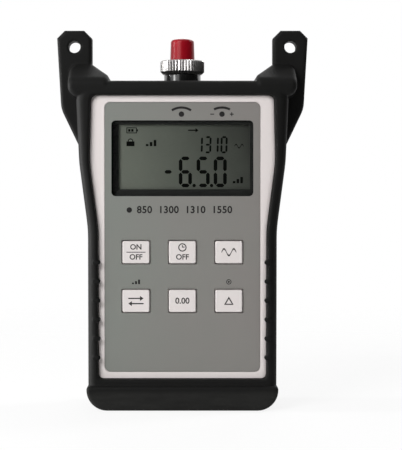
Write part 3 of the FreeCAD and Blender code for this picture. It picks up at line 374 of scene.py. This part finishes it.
handled_edge = (0.62, 0.58, 0.56)
case_plastic = moulded("case_plastic", (0.80, 0.74, 0.725), roughness=0.46, grain=0.22,
                       depth=0.010, shade=0.03, worn=handled_edge, ease=0.2)
key_plastic = moulded("key_plastic", (0.76, 0.71, 0.695), roughness=0.42, grain=0.20,
                      depth=0.006, shade=0.03, worn=handled_edge, ease=0.15)
bezel_plastic = moulded("bezel_plastic", (0.010, 0.011, 0.010), roughness=0.5, grain=0.25,
                        depth=0.008, shade=0.2, Specular_IOR_Level=0.15)
socket_plastic = moulded("socket_plastic", grey(0.014), roughness=0.4, grain=0.25,
                         depth=0.006, shade=0.2, worn=grey(0.04), ease=0.2)
chip_resin = moulded("chip_resin", (0.020, 0.020, 0.021), roughness=0.6, grain=0.15,
                     depth=0.010, shade=0.2)
port_enamel = moulded("port_enamel", grey(0.008), roughness=0.22, grain=0.5, depth=0.002,
                      shade=0.2, worn=grey(0.03), ease=0.2, Coat_Weight=1.0, Coat_Roughness=0.08)
nut_chrome = metal("nut_chrome", (0.36, 0.35, 0.345), roughness=0.30)
screw_steel = metal("screw_steel", (0.58, 0.57, 0.56), roughness=0.32)
spring_steel = metal("spring_steel", (0.72, 0.70, 0.66), roughness=0.28, grain=0.2,
                     stretch=(0.05, 1.0, 1.0))
detector_metal = metal("detector_metal", (0.76, 0.62, 0.36), roughness=0.25)
receptacle_metal = metal("receptacle_metal", (0.74, 0.73, 0.71), roughness=0.2)
panel_ink = printed("panel_ink", (0.016, 0.015, 0.015))
key_ink = printed("key_ink", (0.040, 0.036, 0.036))
segment_ink = printed("segment_ink", (0.0016, 0.0020, 0.0016), roughness=0.7, gloss=0.03)

cell_sleeve = cell_wrap()
node_finishes = {
    "boot": scuffed_and_highlit_rubber(), "front_case": case_plastic, "rear_case": case_plastic,
    "battery_door": case_plastic, "panel_overlay": panel_film(), "display_lens": clear_lens(),
    "lcd_bezel": bezel_plastic, "lcd_glass": display_cell(), "contact_strips": layered_rubber(),
    "main_board": circuit_board(), "key_switches": chip_resin, "controller_chip": chip_resin,
    "board_screws": screw_steel, "case_screws": screw_steel, "cell_left": cell_sleeve,
    "cell_right": cell_sleeve, "bridge_contact": spring_steel, "terminal_contacts": spring_steel,
    "port_barrel": port_enamel, "port_nut": screw_steel, "photodiode": detector_metal,
    "adapter_body": receptacle_metal, "coupling_nut": nut_chrome, "dust_cap": cap_vinyl(),
    "dc_jack": socket_plastic, **{f"key_{key}": key_plastic for key in KEYS},
}
for name, node in nodes.items():
    for material_slot in node.material_slots:
        material_slot.material = node_finishes[name]


# Pieces from meshes

WELD = 0.001
ARC_STEPS, DISC_STEPS, RING_STEPS, WAVE_STEPS = 20, 28, 40, 40


def add_piece(name, mesh, material, body):
    """Show a mesh as a piece of the object that moves with a body."""
    mesh.name = name
    mesh.materials.clear()
    mesh.materials.append(material)
    piece = bpy.data.objects.new(name, mesh)
    bpy.context.scene.collection.objects.link(piece)
    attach(piece, body)
    return piece


def finished(form):
    """Close a bmesh into a mesh with its faces pointing outwards."""
    bmesh.ops.recalc_face_normals(form, faces=form.faces[:])
    mesh = bpy.data.meshes.new("shape")
    form.to_mesh(mesh)
    form.free()
    return mesh


def gathered(meshes, weld=0.0):
    """One mesh from several, which are then removed. Corners closer than the weld are joined."""
    form = bmesh.new()
    for mesh in meshes:
        form.from_mesh(mesh)
        bpy.data.meshes.remove(mesh)
    if weld:
        bmesh.ops.remove_doubles(form, verts=form.verts[:], dist=weld * MM)
    return finished(form)


def join_rows(form, first, second):
    """Faces between two closed rows with as many corners each."""
    for i in range(len(first)):
        form.faces.new((first[i - 1], first[i], second[i], second[i - 1]))


def plates(outlines, front, back):
    """Flat plates between two depths, from (across, up) outlines or from pairs of rim and hole."""
    form = bmesh.new()
    for outline in outlines:
        rims = outline if isinstance(outline, tuple) else (outline,)
        near, far = (
            [[form.verts.new((across * MM, depth * MM, up * MM)) for across, up in rim]
             for rim in rims] for depth in (front, back))
        for near_rim, far_rim in zip(near, far):
            join_rows(form, near_rim, far_rim)
        for face in (near, far):
            if len(face) == 1:
                form.faces.new(face[0])
            else:
                join_rows(form, *face)
    return finished(form)


def baked(item):
    """Plain mesh of an object with its modifiers, after which the object is removed."""
    bpy.context.view_layer.update()
    depsgraph = bpy.context.evaluated_depsgraph_get()
    mesh = bpy.data.meshes.new_from_object(item.evaluated_get(depsgraph), depsgraph=depsgraph)
    bpy.data.objects.remove(item)
    return mesh


def lettering(words, height, across, up, front, back, weight, spacing=1.0):
    """Upright characters centred on a place, facing the user."""
    curve = bpy.data.curves.new("lettering", "FONT")
    curve.body = words
    curve.size = height * MM
    curve.align_x = "CENTER"
    curve.align_y = "CENTER"
    curve.space_character = spacing
    curve.extrude = (back - front) / 2 * MM
    curve.offset = weight * MM
    item = bpy.data.objects.new("lettering", curve)
    bpy.context.scene.collection.objects.link(item)
    mesh = baked(item)
    bpy.data.curves.remove(curve)
    place = Matrix.Translation(Vector((across, (front + back) / 2, up)) * MM)
    mesh.transform(place @ Matrix.Rotation(math.pi / 2, 4, "X"))
    return gathered([mesh], WELD)


def arc_outline(across, up, inner, outer, start, end):
    """Outline of a piece of a ring between two angles in degrees."""
    angles = [math.radians(start + (end - start) * i / ARC_STEPS) for i in range(ARC_STEPS + 1)]
    outside = [(across + outer * math.cos(a), up + outer * math.sin(a)) for a in angles]
    inside = [(across + inner * math.cos(a), up + inner * math.sin(a)) for a in angles]
    return outside + inside[::-1]


def disc_outline(across, up, radius, steps=DISC_STEPS):
    angles = [2 * math.pi * i / steps for i in range(steps)]
    return [(across + radius * math.cos(a), up + radius * math.sin(a)) for a in angles]


def ring_outline(across, up, inner, outer):
    return tuple(disc_outline(across, up, radius, RING_STEPS) for radius in (outer, inner))


def bar_outline(left, right, low, high):
    return [(left, low), (right, low), (right, high), (left, high)]


def level_outlines(across, up, width, height):
    """Three bars that rise to the right."""
    bar, step = width / 4, width / 4 * 1.5
    left, low = across - width / 2, up - height / 2
    return [bar_outline(left + i * step, left + i * step + bar, low, low + height * (i + 1) / 3)
            for i in range(3)]


def wave_outline(across, up, width, height, stroke, cycles=1.5):
    """Band of even height that follows a sine wave."""
    shares = [i / WAVE_STEPS for i in range(WAVE_STEPS + 1)]
    crest = [(across + width * (share - 0.5),
              up + height / 2 * math.sin(2 * math.pi * cycles * share)) for share in shares]
    upper = [(x, z + stroke / 2) for x, z in crest]
    lower = [(x, z - stroke / 2) for x, z in crest]
    return upper + lower[::-1]


def arrow_outline(across, up, length, head, stroke):
    """Arrow that points right for a positive length and left for a negative one."""
    tail, tip = across - length / 2, across + length / 2
    neck = tip - math.copysign(head, length)
    half, barb = stroke / 2, head * 0.7
    return [(tail, up - half), (neck, up - half), (neck, up - barb), (tip, up),
            (neck, up + barb), (neck, up + half), (tail, up + half)]


def spun(quarter):
    """Closed outline from a quarter of it, turned about its middle."""
    corners = []
    for turn in range(4):
        spin = Matrix.Rotation(-turn * math.pi / 2, 2)
        corners += [tuple(spin @ Vector(point)) for point in quarter]
    return corners


def plus_outline(across, up, reach, half):
    corners = spun([(-half, reach), (half, reach), (half, half)])
    return [(across + x, up + z) for x, z in corners]


# Print on the panel, with places measured from the middle and the foot of the object

PANEL_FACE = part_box("panel_overlay")[0].y / MM
INK = 0.03
SIGN_ROW, NUMBER_ROW, NOTE_ROW = 124.2, 84.0, 53.8
LEFT_NOTE, RIGHT_NOTE = -19.5, 19.5
BIG_DOT = 1.15


def arc_sign(across, spread):
    """Dot under an arc that spreads by as many degrees to each side."""
    arc_middle, arc_inner, arc_outer = 119.6, 6.9, 7.85
    return [disc_outline(across, SIGN_ROW, BIG_DOT),
            arc_outline(across, arc_middle, arc_inner, arc_outer, 90 - spread, 90 + spread)]


panel_front, panel_back = PANEL_FACE - INK, PANEL_FACE + INK
panel_signs = plates([
    disc_outline(-22.3, NUMBER_ROW, BIG_DOT), *arc_sign(-0.4, 33), *arc_sign(16.6, 27),
    bar_outline(11.7, 13.3, 124.0, 124.4), plus_outline(20.7, SIGN_ROW, 0.8, 0.2),
    *level_outlines(LEFT_NOTE, NOTE_ROW, 3.4, 1.9),
    disc_outline(RIGHT_NOTE, NOTE_ROW, 0.4), ring_outline(RIGHT_NOTE, NOTE_ROW, 0.8, 1.1),
], panel_front, panel_back)
panel_numbers = lettering(
    "850  1300  1310  1550", height=4.1, across=0.9, up=NUMBER_ROW, front=panel_front,
    back=panel_back, weight=0.1, spacing=1.06)
panel_print = gathered([panel_signs, panel_numbers])
add_piece("panel_print", panel_print, panel_ink, "meter")


# Legends on the keys, measured from each key's middle

UPPER_ROW, LOWER_ROW = 2.1, -2.1
WORD_HEIGHT, NUMBER_HEIGHT, WORD_WEIGHT = 3.1, 3.5, 0.07


def key_legend(key, marks):
    """Print on one key: words as (text, height, up), and outlines."""
    low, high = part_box(f"key_{key}")
    middle = (low + high) / (2 * MM)
    front, back = low.y / MM - INK, low.y / MM + INK
    shapes = []
    for mark in marks:
        if isinstance(mark[0], str):
            words, height, up = mark
            shape = lettering(words, height, middle.x, middle.z + up, front, back, WORD_WEIGHT)
        else:
            shape = plates([mark], front, back)
            shape.transform(Matrix.Translation((middle.x * MM, 0.0, middle.z * MM)))
        shapes.append(shape)
    add_piece(f"{key}_legend", gathered(shapes), key_ink, f"{key}_key")


clock_hands = [(-0.2, 1.95), (0.9, 1.95), (0.9, 2.35), (0.2, 2.35), (0.2, 3.0), (-0.2, 3.0)]
triangle = ([(-2.0, -1.6), (2.0, -1.6), (0, 1.9)], [(-1.2, -1.15), (1.2, -1.15), (0, 0.9)])
key_legend("power", [("ON", WORD_HEIGHT, UPPER_ROW), bar_outline(-4.0, 4.0, -0.16, 0.16),
                     ("OFF", WORD_HEIGHT, LOWER_ROW)])
key_legend("auto_off", [ring_outline(0, 2.0, 1.3, 1.75), clock_hands,
                        ("OFF", WORD_HEIGHT, LOWER_ROW)])
key_legend("wavelength", [wave_outline(0, 0, 6.2, 2.8, 0.75)])
key_legend("units", [arrow_outline(0, 1.1, 6.4, 1.5, 0.5), arrow_outline(0, -1.1, -6.4, 1.5, 0.5)])
key_legend("zero", [("0.00", NUMBER_HEIGHT, 0)])
key_legend("reference", [triangle])


# Display segments

SEGMENTS = {"0": "abcdef", "1": "bc", "3": "abcdg", "5": "acdfg", "6": "acdefg", "-": "g"}


def digit_outlines(sign, left, width, low, height, stroke, lean):
    """Segment shapes of one numeral, which may lean to the right."""
    gap, half = stroke * 0.16, stroke / 2
    rights, tops = left + width - half, low + height - half
    lefts, bottoms, middle = left + half, low + half, low + height / 2
    outlines = []
    for segment in SEGMENTS[sign]:
        if segment in "adg":
            up = {"a": tops, "d": bottoms, "g": middle}[segment]
            start, end = lefts + gap, rights - gap
            shape = [(start, up), (start + half, up + half), (end - half, up + half), (end, up),
                     (end - half, up - half), (start + half, up - half)]
        else:
            across = rights if segment in "bc" else lefts
            start, end = (middle, tops) if segment in "bf" else (bottoms, middle)
            start, end = start + gap, end - gap
            shape = [(across, start), (across + half, start + half), (across + half, end - half),
                     (across, end), (across - half, end - half), (across - half, start + half)]
        outlines.append([(across + lean * (up - low), up) for across, up in shape])
    return outlines


CELL_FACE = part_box("lcd_glass")[0].y / MM
SEGMENT_RISE, SEGMENT_ROOT = 0.04, 0.02
segment_front, segment_back = CELL_FACE - SEGMENT_RISE, CELL_FACE + SEGMENT_ROOT
large = {"low": 93.6, "height": 12.9, "stroke": 1.5, "lean": 0.0}
small = {"low": 107.9, "height": 7.2, "stroke": 0.8, "lean": 0.03}
large_width, small_width, minus_width = 5.5, 2.9, 5.2
point_up, point_radius = 94.3, 0.7
numerals = []
for sign, left in (("6", -1.5), ("5", 6.0), ("0", 13.2)):
    numerals += digit_outlines(sign, left, large_width, **large)
for sign, left in (("1", 5.6), ("3", 9.2), ("1", 12.3), ("0", 16.0)):
    numerals += digit_outlines(sign, left, small_width, **small)
numerals += digit_outlines("-", -8.6, minus_width, **large)
points = [disc_outline(across, point_up, point_radius) for across in (4.95, 12.3)]
battery = [
    (bar_outline(-23.6, -19.2, 116.3, 118.8), bar_outline(-23.25, -19.55, 116.65, 118.45)),
    bar_outline(-19.3, -18.75, 117.1, 118.0), bar_outline(-22.9, -21.9, 117.0, 118.1),
    bar_outline(-21.6, -20.6, 117.0, 118.1),
]
lock = [bar_outline(-23.6, -20.2, 110.9, 112.9), arc_outline(-21.9, 113.0, 0.75, 1.15, -8, 188)]
small_signs = [
    *level_outlines(-13.2, 112.2, 4.4, 2.6), arrow_outline(4.6, 117.6, 4.4, 1.3, 0.5),
    wave_outline(23.9, 110.9, 3.8, 1.5, 0.45), *level_outlines(23.4, 96.6, 4.2, 2.6),
]
display_segments = plates([*numerals, *points, *battery, *lock, *small_signs],
                          segment_front, segment_back)
add_piece("display_segments", display_segments, segment_ink, "meter")


# Geometry trees

def tree_with(name, inputs):
    """Empty geometry tree with named inputs, and the values that they bring in."""
    tree = bpy.data.node_groups.new(name, "GeometryNodeTree")
    tree.interface.new_socket("Geometry", in_out="INPUT", socket_type="NodeSocketGeometry")
    for label, kind in inputs.items():
        tree.interface.new_socket(label, in_out="INPUT", socket_type=kind)
    tree.interface.new_socket("Geometry", in_out="OUTPUT", socket_type="NodeSocketGeometry")
    graph = Graph(tree)
    inlet = tree.nodes.new("NodeGroupInput")
    return graph, {socket.name: Value(graph, socket) for socket in inlet.outputs if socket.name}


def close_tree(graph, shape, material):
    """Realise what the tree made, give it its material and send it out."""
    whole = graph.add("GeometryNodeRealizeInstances", {}, {"Geometry": shape})
    dressed = graph.add("GeometryNodeSetMaterial", {}, {"Geometry": whole, "Material": material})
    graph.feed(graph.tree.nodes.new("NodeGroupOutput").inputs[0], dressed)
    return graph.tree


def run_tree(tree, mesh, values):
    """Mesh that a tree makes from a start mesh and its named values."""
    item = bpy.data.objects.new("start", mesh)
    bpy.context.scene.collection.objects.link(item)
    modifier = item.modifiers.new("shape", "NODES")
    modifier.node_group = tree
    for entry in tree.interface.items_tree:
        if entry.in_out == "INPUT" and entry.name in values:
            modifier[entry.identifier] = values[entry.name]
    result = baked(item)
    bpy.data.meshes.remove(mesh)
    return result


def ridges(run):
    """Height from 0 up to 1 and back to 0 over each whole step of a run."""
    return 1 - ((run % 1.0) - 0.5).size() * 2


def turned_tree():
    """Turns a half profile about Z. Straight flutes and a thread are cut into its outside."""
    graph, value = tree_with("turned_piece", {
        "Columns": "NodeSocketInt", "Flutes": "NodeSocketInt", "Flute Depth": "NodeSocketFloat",
        "Flute Start": "NodeSocketFloat", "Flute Full": "NodeSocketFloat",
        "Pitch": "NodeSocketFloat", "Thread Depth": "NodeSocketFloat",
        "Thread Low": "NodeSocketFloat", "Thread High": "NodeSocketFloat",
        "Thread Radius": "NodeSocketFloat", "Material": "NodeSocketMaterial",
    })
    profile = value["Geometry"]
    rows = graph.add("GeometryNodeAttributeDomainSize", {"component": "MESH"},
                     {"Geometry": profile})
    grid = graph.add("GeometryNodeMeshGrid", {},
                     {"Vertices X": value["Columns"] + 1, "Vertices Y": rows})
    index = graph.add("GeometryNodeInputIndex")
    row = index % rows
    share = (index / rows).whole() / value["Columns"]
    corner = graph.add(
        "GeometryNodeSampleIndex", {"data_type": "FLOAT_VECTOR", "domain": "POINT"},
        {"Geometry": profile, "Value": graph.add("GeometryNodeInputPosition"), "Index": row})
    radius = graph.add("ShaderNodeSeparateXYZ", {}, {0: corner}, "X")
    height = graph.add("ShaderNodeSeparateXYZ", {}, {0: corner}, "Z")
    flute_run = value["Flute Full"] - value["Flute Start"]
    fluted = ((radius - value["Flute Start"]) / flute_run).clamped()
    threaded = ((height > value["Thread Low"]) * (height < value["Thread High"])
                * (radius > value["Thread Radius"]))
    flute = ridges(share * value["Flutes"]) * fluted * value["Flute Depth"]
    thread = ridges(height / value["Pitch"] - share) * threaded * value["Thread Depth"]
    cut = radius - flute - thread
    angle = share * (2 * math.pi)
    place = graph.add("ShaderNodeCombineXYZ", {}, {
        "X": cut * angle.cosine(), "Y": cut * angle.sine(), "Z": height})
    bent = graph.add("GeometryNodeSetPosition", {}, {"Geometry": grid, "Position": place})
    closed = graph.add("GeometryNodeMergeByDistance", {},
                       {"Geometry": bent, "Distance": WELD * MM})
    return close_tree(graph, closed, value["Material"])


def set_tree():
    """Puts a copy of one object on every point of the start mesh."""
    graph, value = tree_with("set_on_places", {
        "Copy": "NodeSocketObject", "Material": "NodeSocketMaterial"})
    copy = graph.add("GeometryNodeObjectInfo", {}, {"Object": value["Copy"]}, "Geometry")
    spread = graph.add("GeometryNodeInstanceOnPoints", {},
                       {"Points": value["Geometry"], "Instance": copy})
    return close_tree(graph, spread, value["Material"])


TURNED = turned_tree()
SET_ON_PLACES = set_tree()


def smooth(mesh, crease):
    """Smooth shading, except over edges sharper than a crease in degrees."""
    mesh.shade_smooth()
    mesh.set_sharp_from_angle(angle=math.radians(crease))
    return mesh


# Turned metal around the port, from half profiles of (radius, height)

TURNED_COLUMNS, TURNED_CREASE = 96, 28
ROWS_PER_TURN = 8
BARREL_PITCH, RECEPTACLE_PITCH = 1.0, 0.75
NUT_FLUTES, COLUMNS_PER_FLUTE = 44, 8
NO_CUTS = {
    "Flutes": 1, "Flute Depth": 0.0, "Flute Start": 0.0, "Flute Full": 1.0, "Pitch": 1.0,
    "Thread Depth": 0.0, "Thread Low": 0.0, "Thread High": 0.0, "Thread Radius": 0.0,
}


def turned_mesh(profile, material, columns=TURNED_COLUMNS, **cuts):
    """Mesh of a turned piece from its closed half profile, with flutes or a thread."""
    loop = profile + profile[:1]
    mesh = bpy.data.meshes.new("profile")
    mesh.from_pydata([(radius * MM, 0.0, height * MM) for radius, height in loop],
                     [(i, i + 1) for i in range(len(loop) - 1)], [])
    values = {**NO_CUTS, "Columns": columns, "Material": material}
    for label, number in cuts.items():
        values[label.replace("_", " ")] = number if label == "Flutes" else number * MM
    return smooth(gathered([run_tree(TURNED, mesh, values)]), TURNED_CREASE)


def thread_rows(radius, low, high, pitch):
    """Close rows of points up a wall, so that a thread can be cut into it."""
    count = round((high - low) / pitch * ROWS_PER_TURN)
    return [(radius, low + (high - low) * i / count) for i in range(count + 1)]


barrel_profile = [
    (2.8, 126.0), (6.0, 126.0), (6.0, 134.2), (7.75, 134.2), (7.95, 134.4), (7.95, 141.4),
    (7.65, 141.7), (6.4, 141.7), *thread_rows(6.4, 141.75, 144.7, BARREL_PITCH),
    (6.1, 145.0), (3.5, 145.0), (3.5, 140.0), (2.8, 140.0),
]
barrel_mesh = turned_mesh(
    barrel_profile, port_enamel, Pitch=BARREL_PITCH, Thread_Depth=0.4, Thread_Low=141.8,
    Thread_High=144.65, Thread_Radius=6.3)
barrel = add_piece("port_barrel_turned", barrel_mesh, port_enamel, "meter")
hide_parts("port_barrel")

nut_profile = [
    (6.5, 141.9), (8.2, 141.9), (9.4, 143.1), (9.4, 147.35), (9.0, 147.8), (4.75, 147.8),
    (4.6, 147.65), (4.6, 146.3), (6.5, 146.3),
]
nut_mesh = turned_mesh(
    nut_profile, nut_chrome, columns=NUT_FLUTES * COLUMNS_PER_FLUTE, Flutes=NUT_FLUTES,
    Flute_Depth=0.45, Flute_Start=8.6, Flute_Full=9.3)
nut = add_piece("coupling_nut_turned", nut_mesh, nut_chrome, "nut")
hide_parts("coupling_nut")

receptacle_profile = [
    (1.25, 141.25), (3.1, 141.25), (3.3, 141.45), (3.3, 145.05), (6.05, 145.05), (6.2, 145.2),
    (6.2, 146.1), (6.05, 146.25), (4.0, 146.25),
    *thread_rows(4.0, 147.4, 153.0, RECEPTACLE_PITCH), (3.7, 153.35), (2.9, 153.35),
    (2.9, 147.25), (1.7, 147.25), (1.7, 152.0), (1.55, 152.15), (1.4, 152.15), (1.25, 152.0),
]
receptacle_mesh = turned_mesh(
    receptacle_profile, receptacle_metal, Pitch=RECEPTACLE_PITCH, Thread_Depth=0.32,
    Thread_Low=147.45, Thread_High=152.95, Thread_Radius=3.9)
slot_half, slot_low, slot_high, slot_front, slot_back = 1.05, 149.35, 156.0, -8.0, -2.3
slot_outline = bar_outline(-slot_half, slot_half, slot_low, slot_high)
slot_mesh = plates([slot_outline], slot_front, slot_back)
uncut = bpy.data.objects.new("uncut", receptacle_mesh)
key_slot = bpy.data.objects.new("key_slot", slot_mesh)
for item in (uncut, key_slot):
    bpy.context.scene.collection.objects.link(item)
slotting = uncut.modifiers.new("slot", "BOOLEAN")
slotting.object = key_slot
slotting.operation = "DIFFERENCE"
slotting.solver = "EXACT"
slotted_mesh = baked(uncut)
bpy.data.objects.remove(key_slot)
receptacle = add_piece("receptacle_turned", slotted_mesh, receptacle_metal, "adapter")
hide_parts("adapter_body")


# Screws in the back and ribs on the battery door, set on their places

SCREW_SIDES, SCREW_CREASE = 24, 25
SCREW_PROFILE = ((1.0, -19.5), (1.4, -19.0), (1.4, 0.0), (2.3, 0.0), (2.3, 1.25), (2.15, 1.5),
                 (1.9, 1.6))
SCREW_SEAT = 11.5
LOW_SCREW, HIGH_SCREW = (27.5, 21.0), (33.9, 121.5)
RIB_COUNT, RIB_LOW, RIB_STEP, RIB_SEAT = 4, 77.0, 1.0, 0.8
RIB_REACH, RIB_HALF, RIB_FOOT, RIB_CREST = 5.2, 0.25, -0.1, 0.6


def screw_mesh():
    """Pan head with a cross recess and its shank, along Y from the seat."""
    arm, half = 1.35, 0.36
    floor_depth, floor_share = 0.6, 0.6
    top = SCREW_PROFILE[-1][1]
    form = bmesh.new()
    rings = [[form.verts.new((across * MM, depth * MM, up * MM))
              for across, up in disc_outline(0, 0, radius, SCREW_SIDES)]
             for radius, depth in SCREW_PROFILE]
    for low, high in zip(rings, rings[1:]):
        join_rows(form, low, high)
    form.faces.new(rings[0])
    cross = spun([(half, arm), (half, half), (arm, half)])
    mouth = [form.verts.new((across * MM, top * MM, up * MM)) for across, up in cross]
    floor = [form.verts.new((across * floor_share * MM, floor_depth * MM, up * floor_share * MM))
             for across, up in cross]
    rim = rings[-1]
    rim_edges = [form.edges.get((rim[i - 1], rim[i])) for i in range(len(rim))]
    mouth_edges = [form.edges.new((mouth[i - 1], mouth[i])) for i in range(len(mouth))]
    bmesh.ops.triangle_fill(form, use_beauty=True, edges=rim_edges + mouth_edges)
    join_rows(form, mouth, floor)
    form.faces.new(floor)
    return smooth(finished(form), SCREW_CREASE)


def set_copies(mesh, places, material):
    """One mesh with a copy of the given mesh at each place."""
    copy = bpy.data.objects.new("copy", mesh)
    bpy.context.scene.collection.objects.link(copy)
    points = bpy.data.meshes.new("places")
    points.from_pydata([Vector(place) * MM for place in places], [], [])
    result = run_tree(SET_ON_PLACES, points, {"Copy": copy, "Material": material})
    bpy.data.objects.remove(copy)
    return result


screw_places = [(side * across, SCREW_SEAT, up)
                for across, up in (LOW_SCREW, HIGH_SCREW) for side in (-1, 1)]
screws_mesh = set_copies(screw_mesh(), screw_places, screw_steel)
screws = add_piece("case_screws_cross", screws_mesh, screw_steel, "meter")
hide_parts("case_screws")

DOOR_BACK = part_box("battery_door")[1].y / MM
rib_places = [(0.0, DOOR_BACK - RIB_SEAT, RIB_LOW + RIB_STEP * i) for i in range(RIB_COUNT)]
rib_outline = bar_outline(-RIB_REACH, RIB_REACH, -RIB_HALF, RIB_HALF)
rib_mesh = plates([rib_outline], RIB_FOOT, RIB_CREST)
ribs_mesh = set_copies(rib_mesh, rib_places, case_plastic)
add_piece("thumb_ribs", ribs_mesh, case_plastic, "door")


# Studio in metres and watts: white surroundings, pale floor, dark cards, soft lamps and camera

AMBIENT = 0.15
FLOOR_RADIUS, FLOOR_SIDES = 1.2, 64
FLOOR_GLOW = 0.84
OBJECT_MIDDLE, PORT_NUT = (0.0, 0.0, 0.08), (0.0, 0.0, 0.15)


def seen_directly(graph):
    """1 for rays that show the surroundings: seen as such, in gloss or through glass."""
    camera, gloss, glass = (
        graph.add("ShaderNodeLightPath", output=label)
        for label in ("Is Camera Ray", "Is Glossy Ray", "Is Transmission Ray"))
    return (camera + gloss + glass).clamped()


def white_world():
    """Surroundings that look white and light the object by their ambient share only."""
    world = bpy.data.worlds.new("studio")
    world.use_nodes = True
    bpy.context.scene.world = world
    graph = Graph(world.node_tree)
    background = world.node_tree.nodes["Background"]
    background.inputs["Color"].default_value = (1.0, 1.0, 1.0, 1.0)
    graph.feed(background.inputs["Strength"], AMBIENT + seen_directly(graph) * (1.0 - AMBIENT))


def add_stage(name, form, finish):
    """Object of the studio from a bmesh, which is no piece of the part."""
    mesh = bpy.data.meshes.new(name)
    form.to_mesh(mesh)
    form.free()
    mesh.materials.append(finish.material)
    item = bpy.data.objects.new(name, mesh)
    bpy.context.scene.collection.objects.link(item)
    return item


def pale_floor():
    """Floor that fades into the white surroundings and keeps the object's soft shadow."""
    # Millimetres from the middle of the floor
    fade_start, fade_end = 228.0, 608.0
    finish = Finish("floor_paper", Roughness=0.9, Specular_IOR_Level=0.1)
    across, depth = finish.along("X"), finish.along("Y")
    away = (across * across + depth * depth).root()
    kept = ((fade_end - away) / (fade_end - fade_start)).clamped()
    finish.drive("Base Color", finish.mix(finish.noise(2.0), grey(0.93), grey(0.96)))
    finish.drive("Alpha", kept)
    white = finish.add("ShaderNodeEmission")
    bare = finish.add("ShaderNodeBsdfTransparent")
    fading = finish.add("ShaderNodeMixShader", {}, {0: kept, 1: bare, 2: white})
    lit = Value(finish, finish.shader.outputs[0])
    shown = finish.add("ShaderNodeMixShader", {},
                       {0: seen_directly(finish) * FLOOR_GLOW, 1: lit, 2: fading})
    finish.feed(finish.tree.nodes["Material Output"].inputs["Surface"], shown)
    form = bmesh.new()
    bmesh.ops.create_circle(form, cap_ends=True, segments=FLOOR_SIDES, radius=FLOOR_RADIUS)
    floor = add_stage("floor", form, finish)


def dark_cards():
    """Two dark cards behind the camera and on the right, seen only where gloss mirrors them."""
    low, high, near, far, left, right = -0.1, 1.5, 0.3, -1.5, -0.55, 1.1
    finish = Finish("card_felt", Roughness=0.9, Specular_IOR_Level=0.0)
    finish.drive("Base Color", finish.mix(finish.noise(3.0), grey(0.012), grey(0.02)))
    form = bmesh.new()
    corners = ((left, far), (right, far), (right, near))
    bottom, top = ([form.verts.new((*corner, up)) for corner in corners] for up in (low, high))
    for i in range(2):
        form.faces.new((bottom[i], bottom[i + 1], top[i + 1], top[i]))
    cards = add_stage("dark_cards", form, finish)
    cards.visible_camera = False


def lamp(name, place, aim, width, height, power):
    """Soft rectangular lamp that is turned to its aim."""
    light = bpy.data.lights.new(name, "AREA")
    light.shape = "RECTANGLE"
    light.size = width
    light.size_y = height
    light.energy = power
    item = bpy.data.objects.new(name, light)
    item.location = place
    item.rotation_euler = (Vector(aim) - Vector(place)).to_track_quat("-Z", "Y").to_euler()
    bpy.context.scene.collection.objects.link(item)


def photo_camera():
    """Camera at the photograph's angle: straight on, and one degree above level."""
    image_width, image_height = 402, 450
    pixel, distance, elevation = 0.42 * MM, 0.6, math.radians(1.0)
    middle_column, foot_row = 182.4, 410.0
    data = bpy.data.cameras.new("photo_camera")
    data.lens = data.sensor_width * distance / (image_height * pixel)
    data.shift_x = (image_width / 2 - middle_column) / image_height
    camera = bpy.data.objects.new("photo_camera", data)
    aim = Vector((0.0, PANEL_FACE * MM, (foot_row - image_height / 2) * pixel))
    camera.location = aim + Vector((0.0, -math.cos(elevation), math.sin(elevation))) * distance
    camera.rotation_euler = (aim - camera.location).to_track_quat("-Z", "Y").to_euler()
    bpy.context.scene.collection.objects.link(camera)
    bpy.context.scene.camera = camera


white_world()
pale_floor()
dark_cards()
lamp("key_lamp", (-0.42, -0.64, 0.50), OBJECT_MIDDLE, width=0.36, height=0.36, power=4.7)
lamp("fill_lamp", (0.25, -0.95, 0.85), OBJECT_MIDDLE, width=0.5, height=0.5, power=0.6)
lamp("low_lamp", (-0.56, -0.46, 0.17), PORT_NUT, width=0.14, height=0.20, power=0.7)
lamp("side_lamp", (0.85, 0.45, 0.85), OBJECT_MIDDLE, width=0.3, height=0.3, power=5.0)
lamp("strip_lamp", (-0.9, 0.0, 0.12), OBJECT_MIDDLE, width=0.10, height=0.3, power=12.0)
lamp("back_lamp", (0.1, 1.1, 0.8), OBJECT_MIDDLE, width=0.6, height=0.6, power=5.0)
photo_camera()
bpy.context.scene.view_settings.view_transform = "Standard"
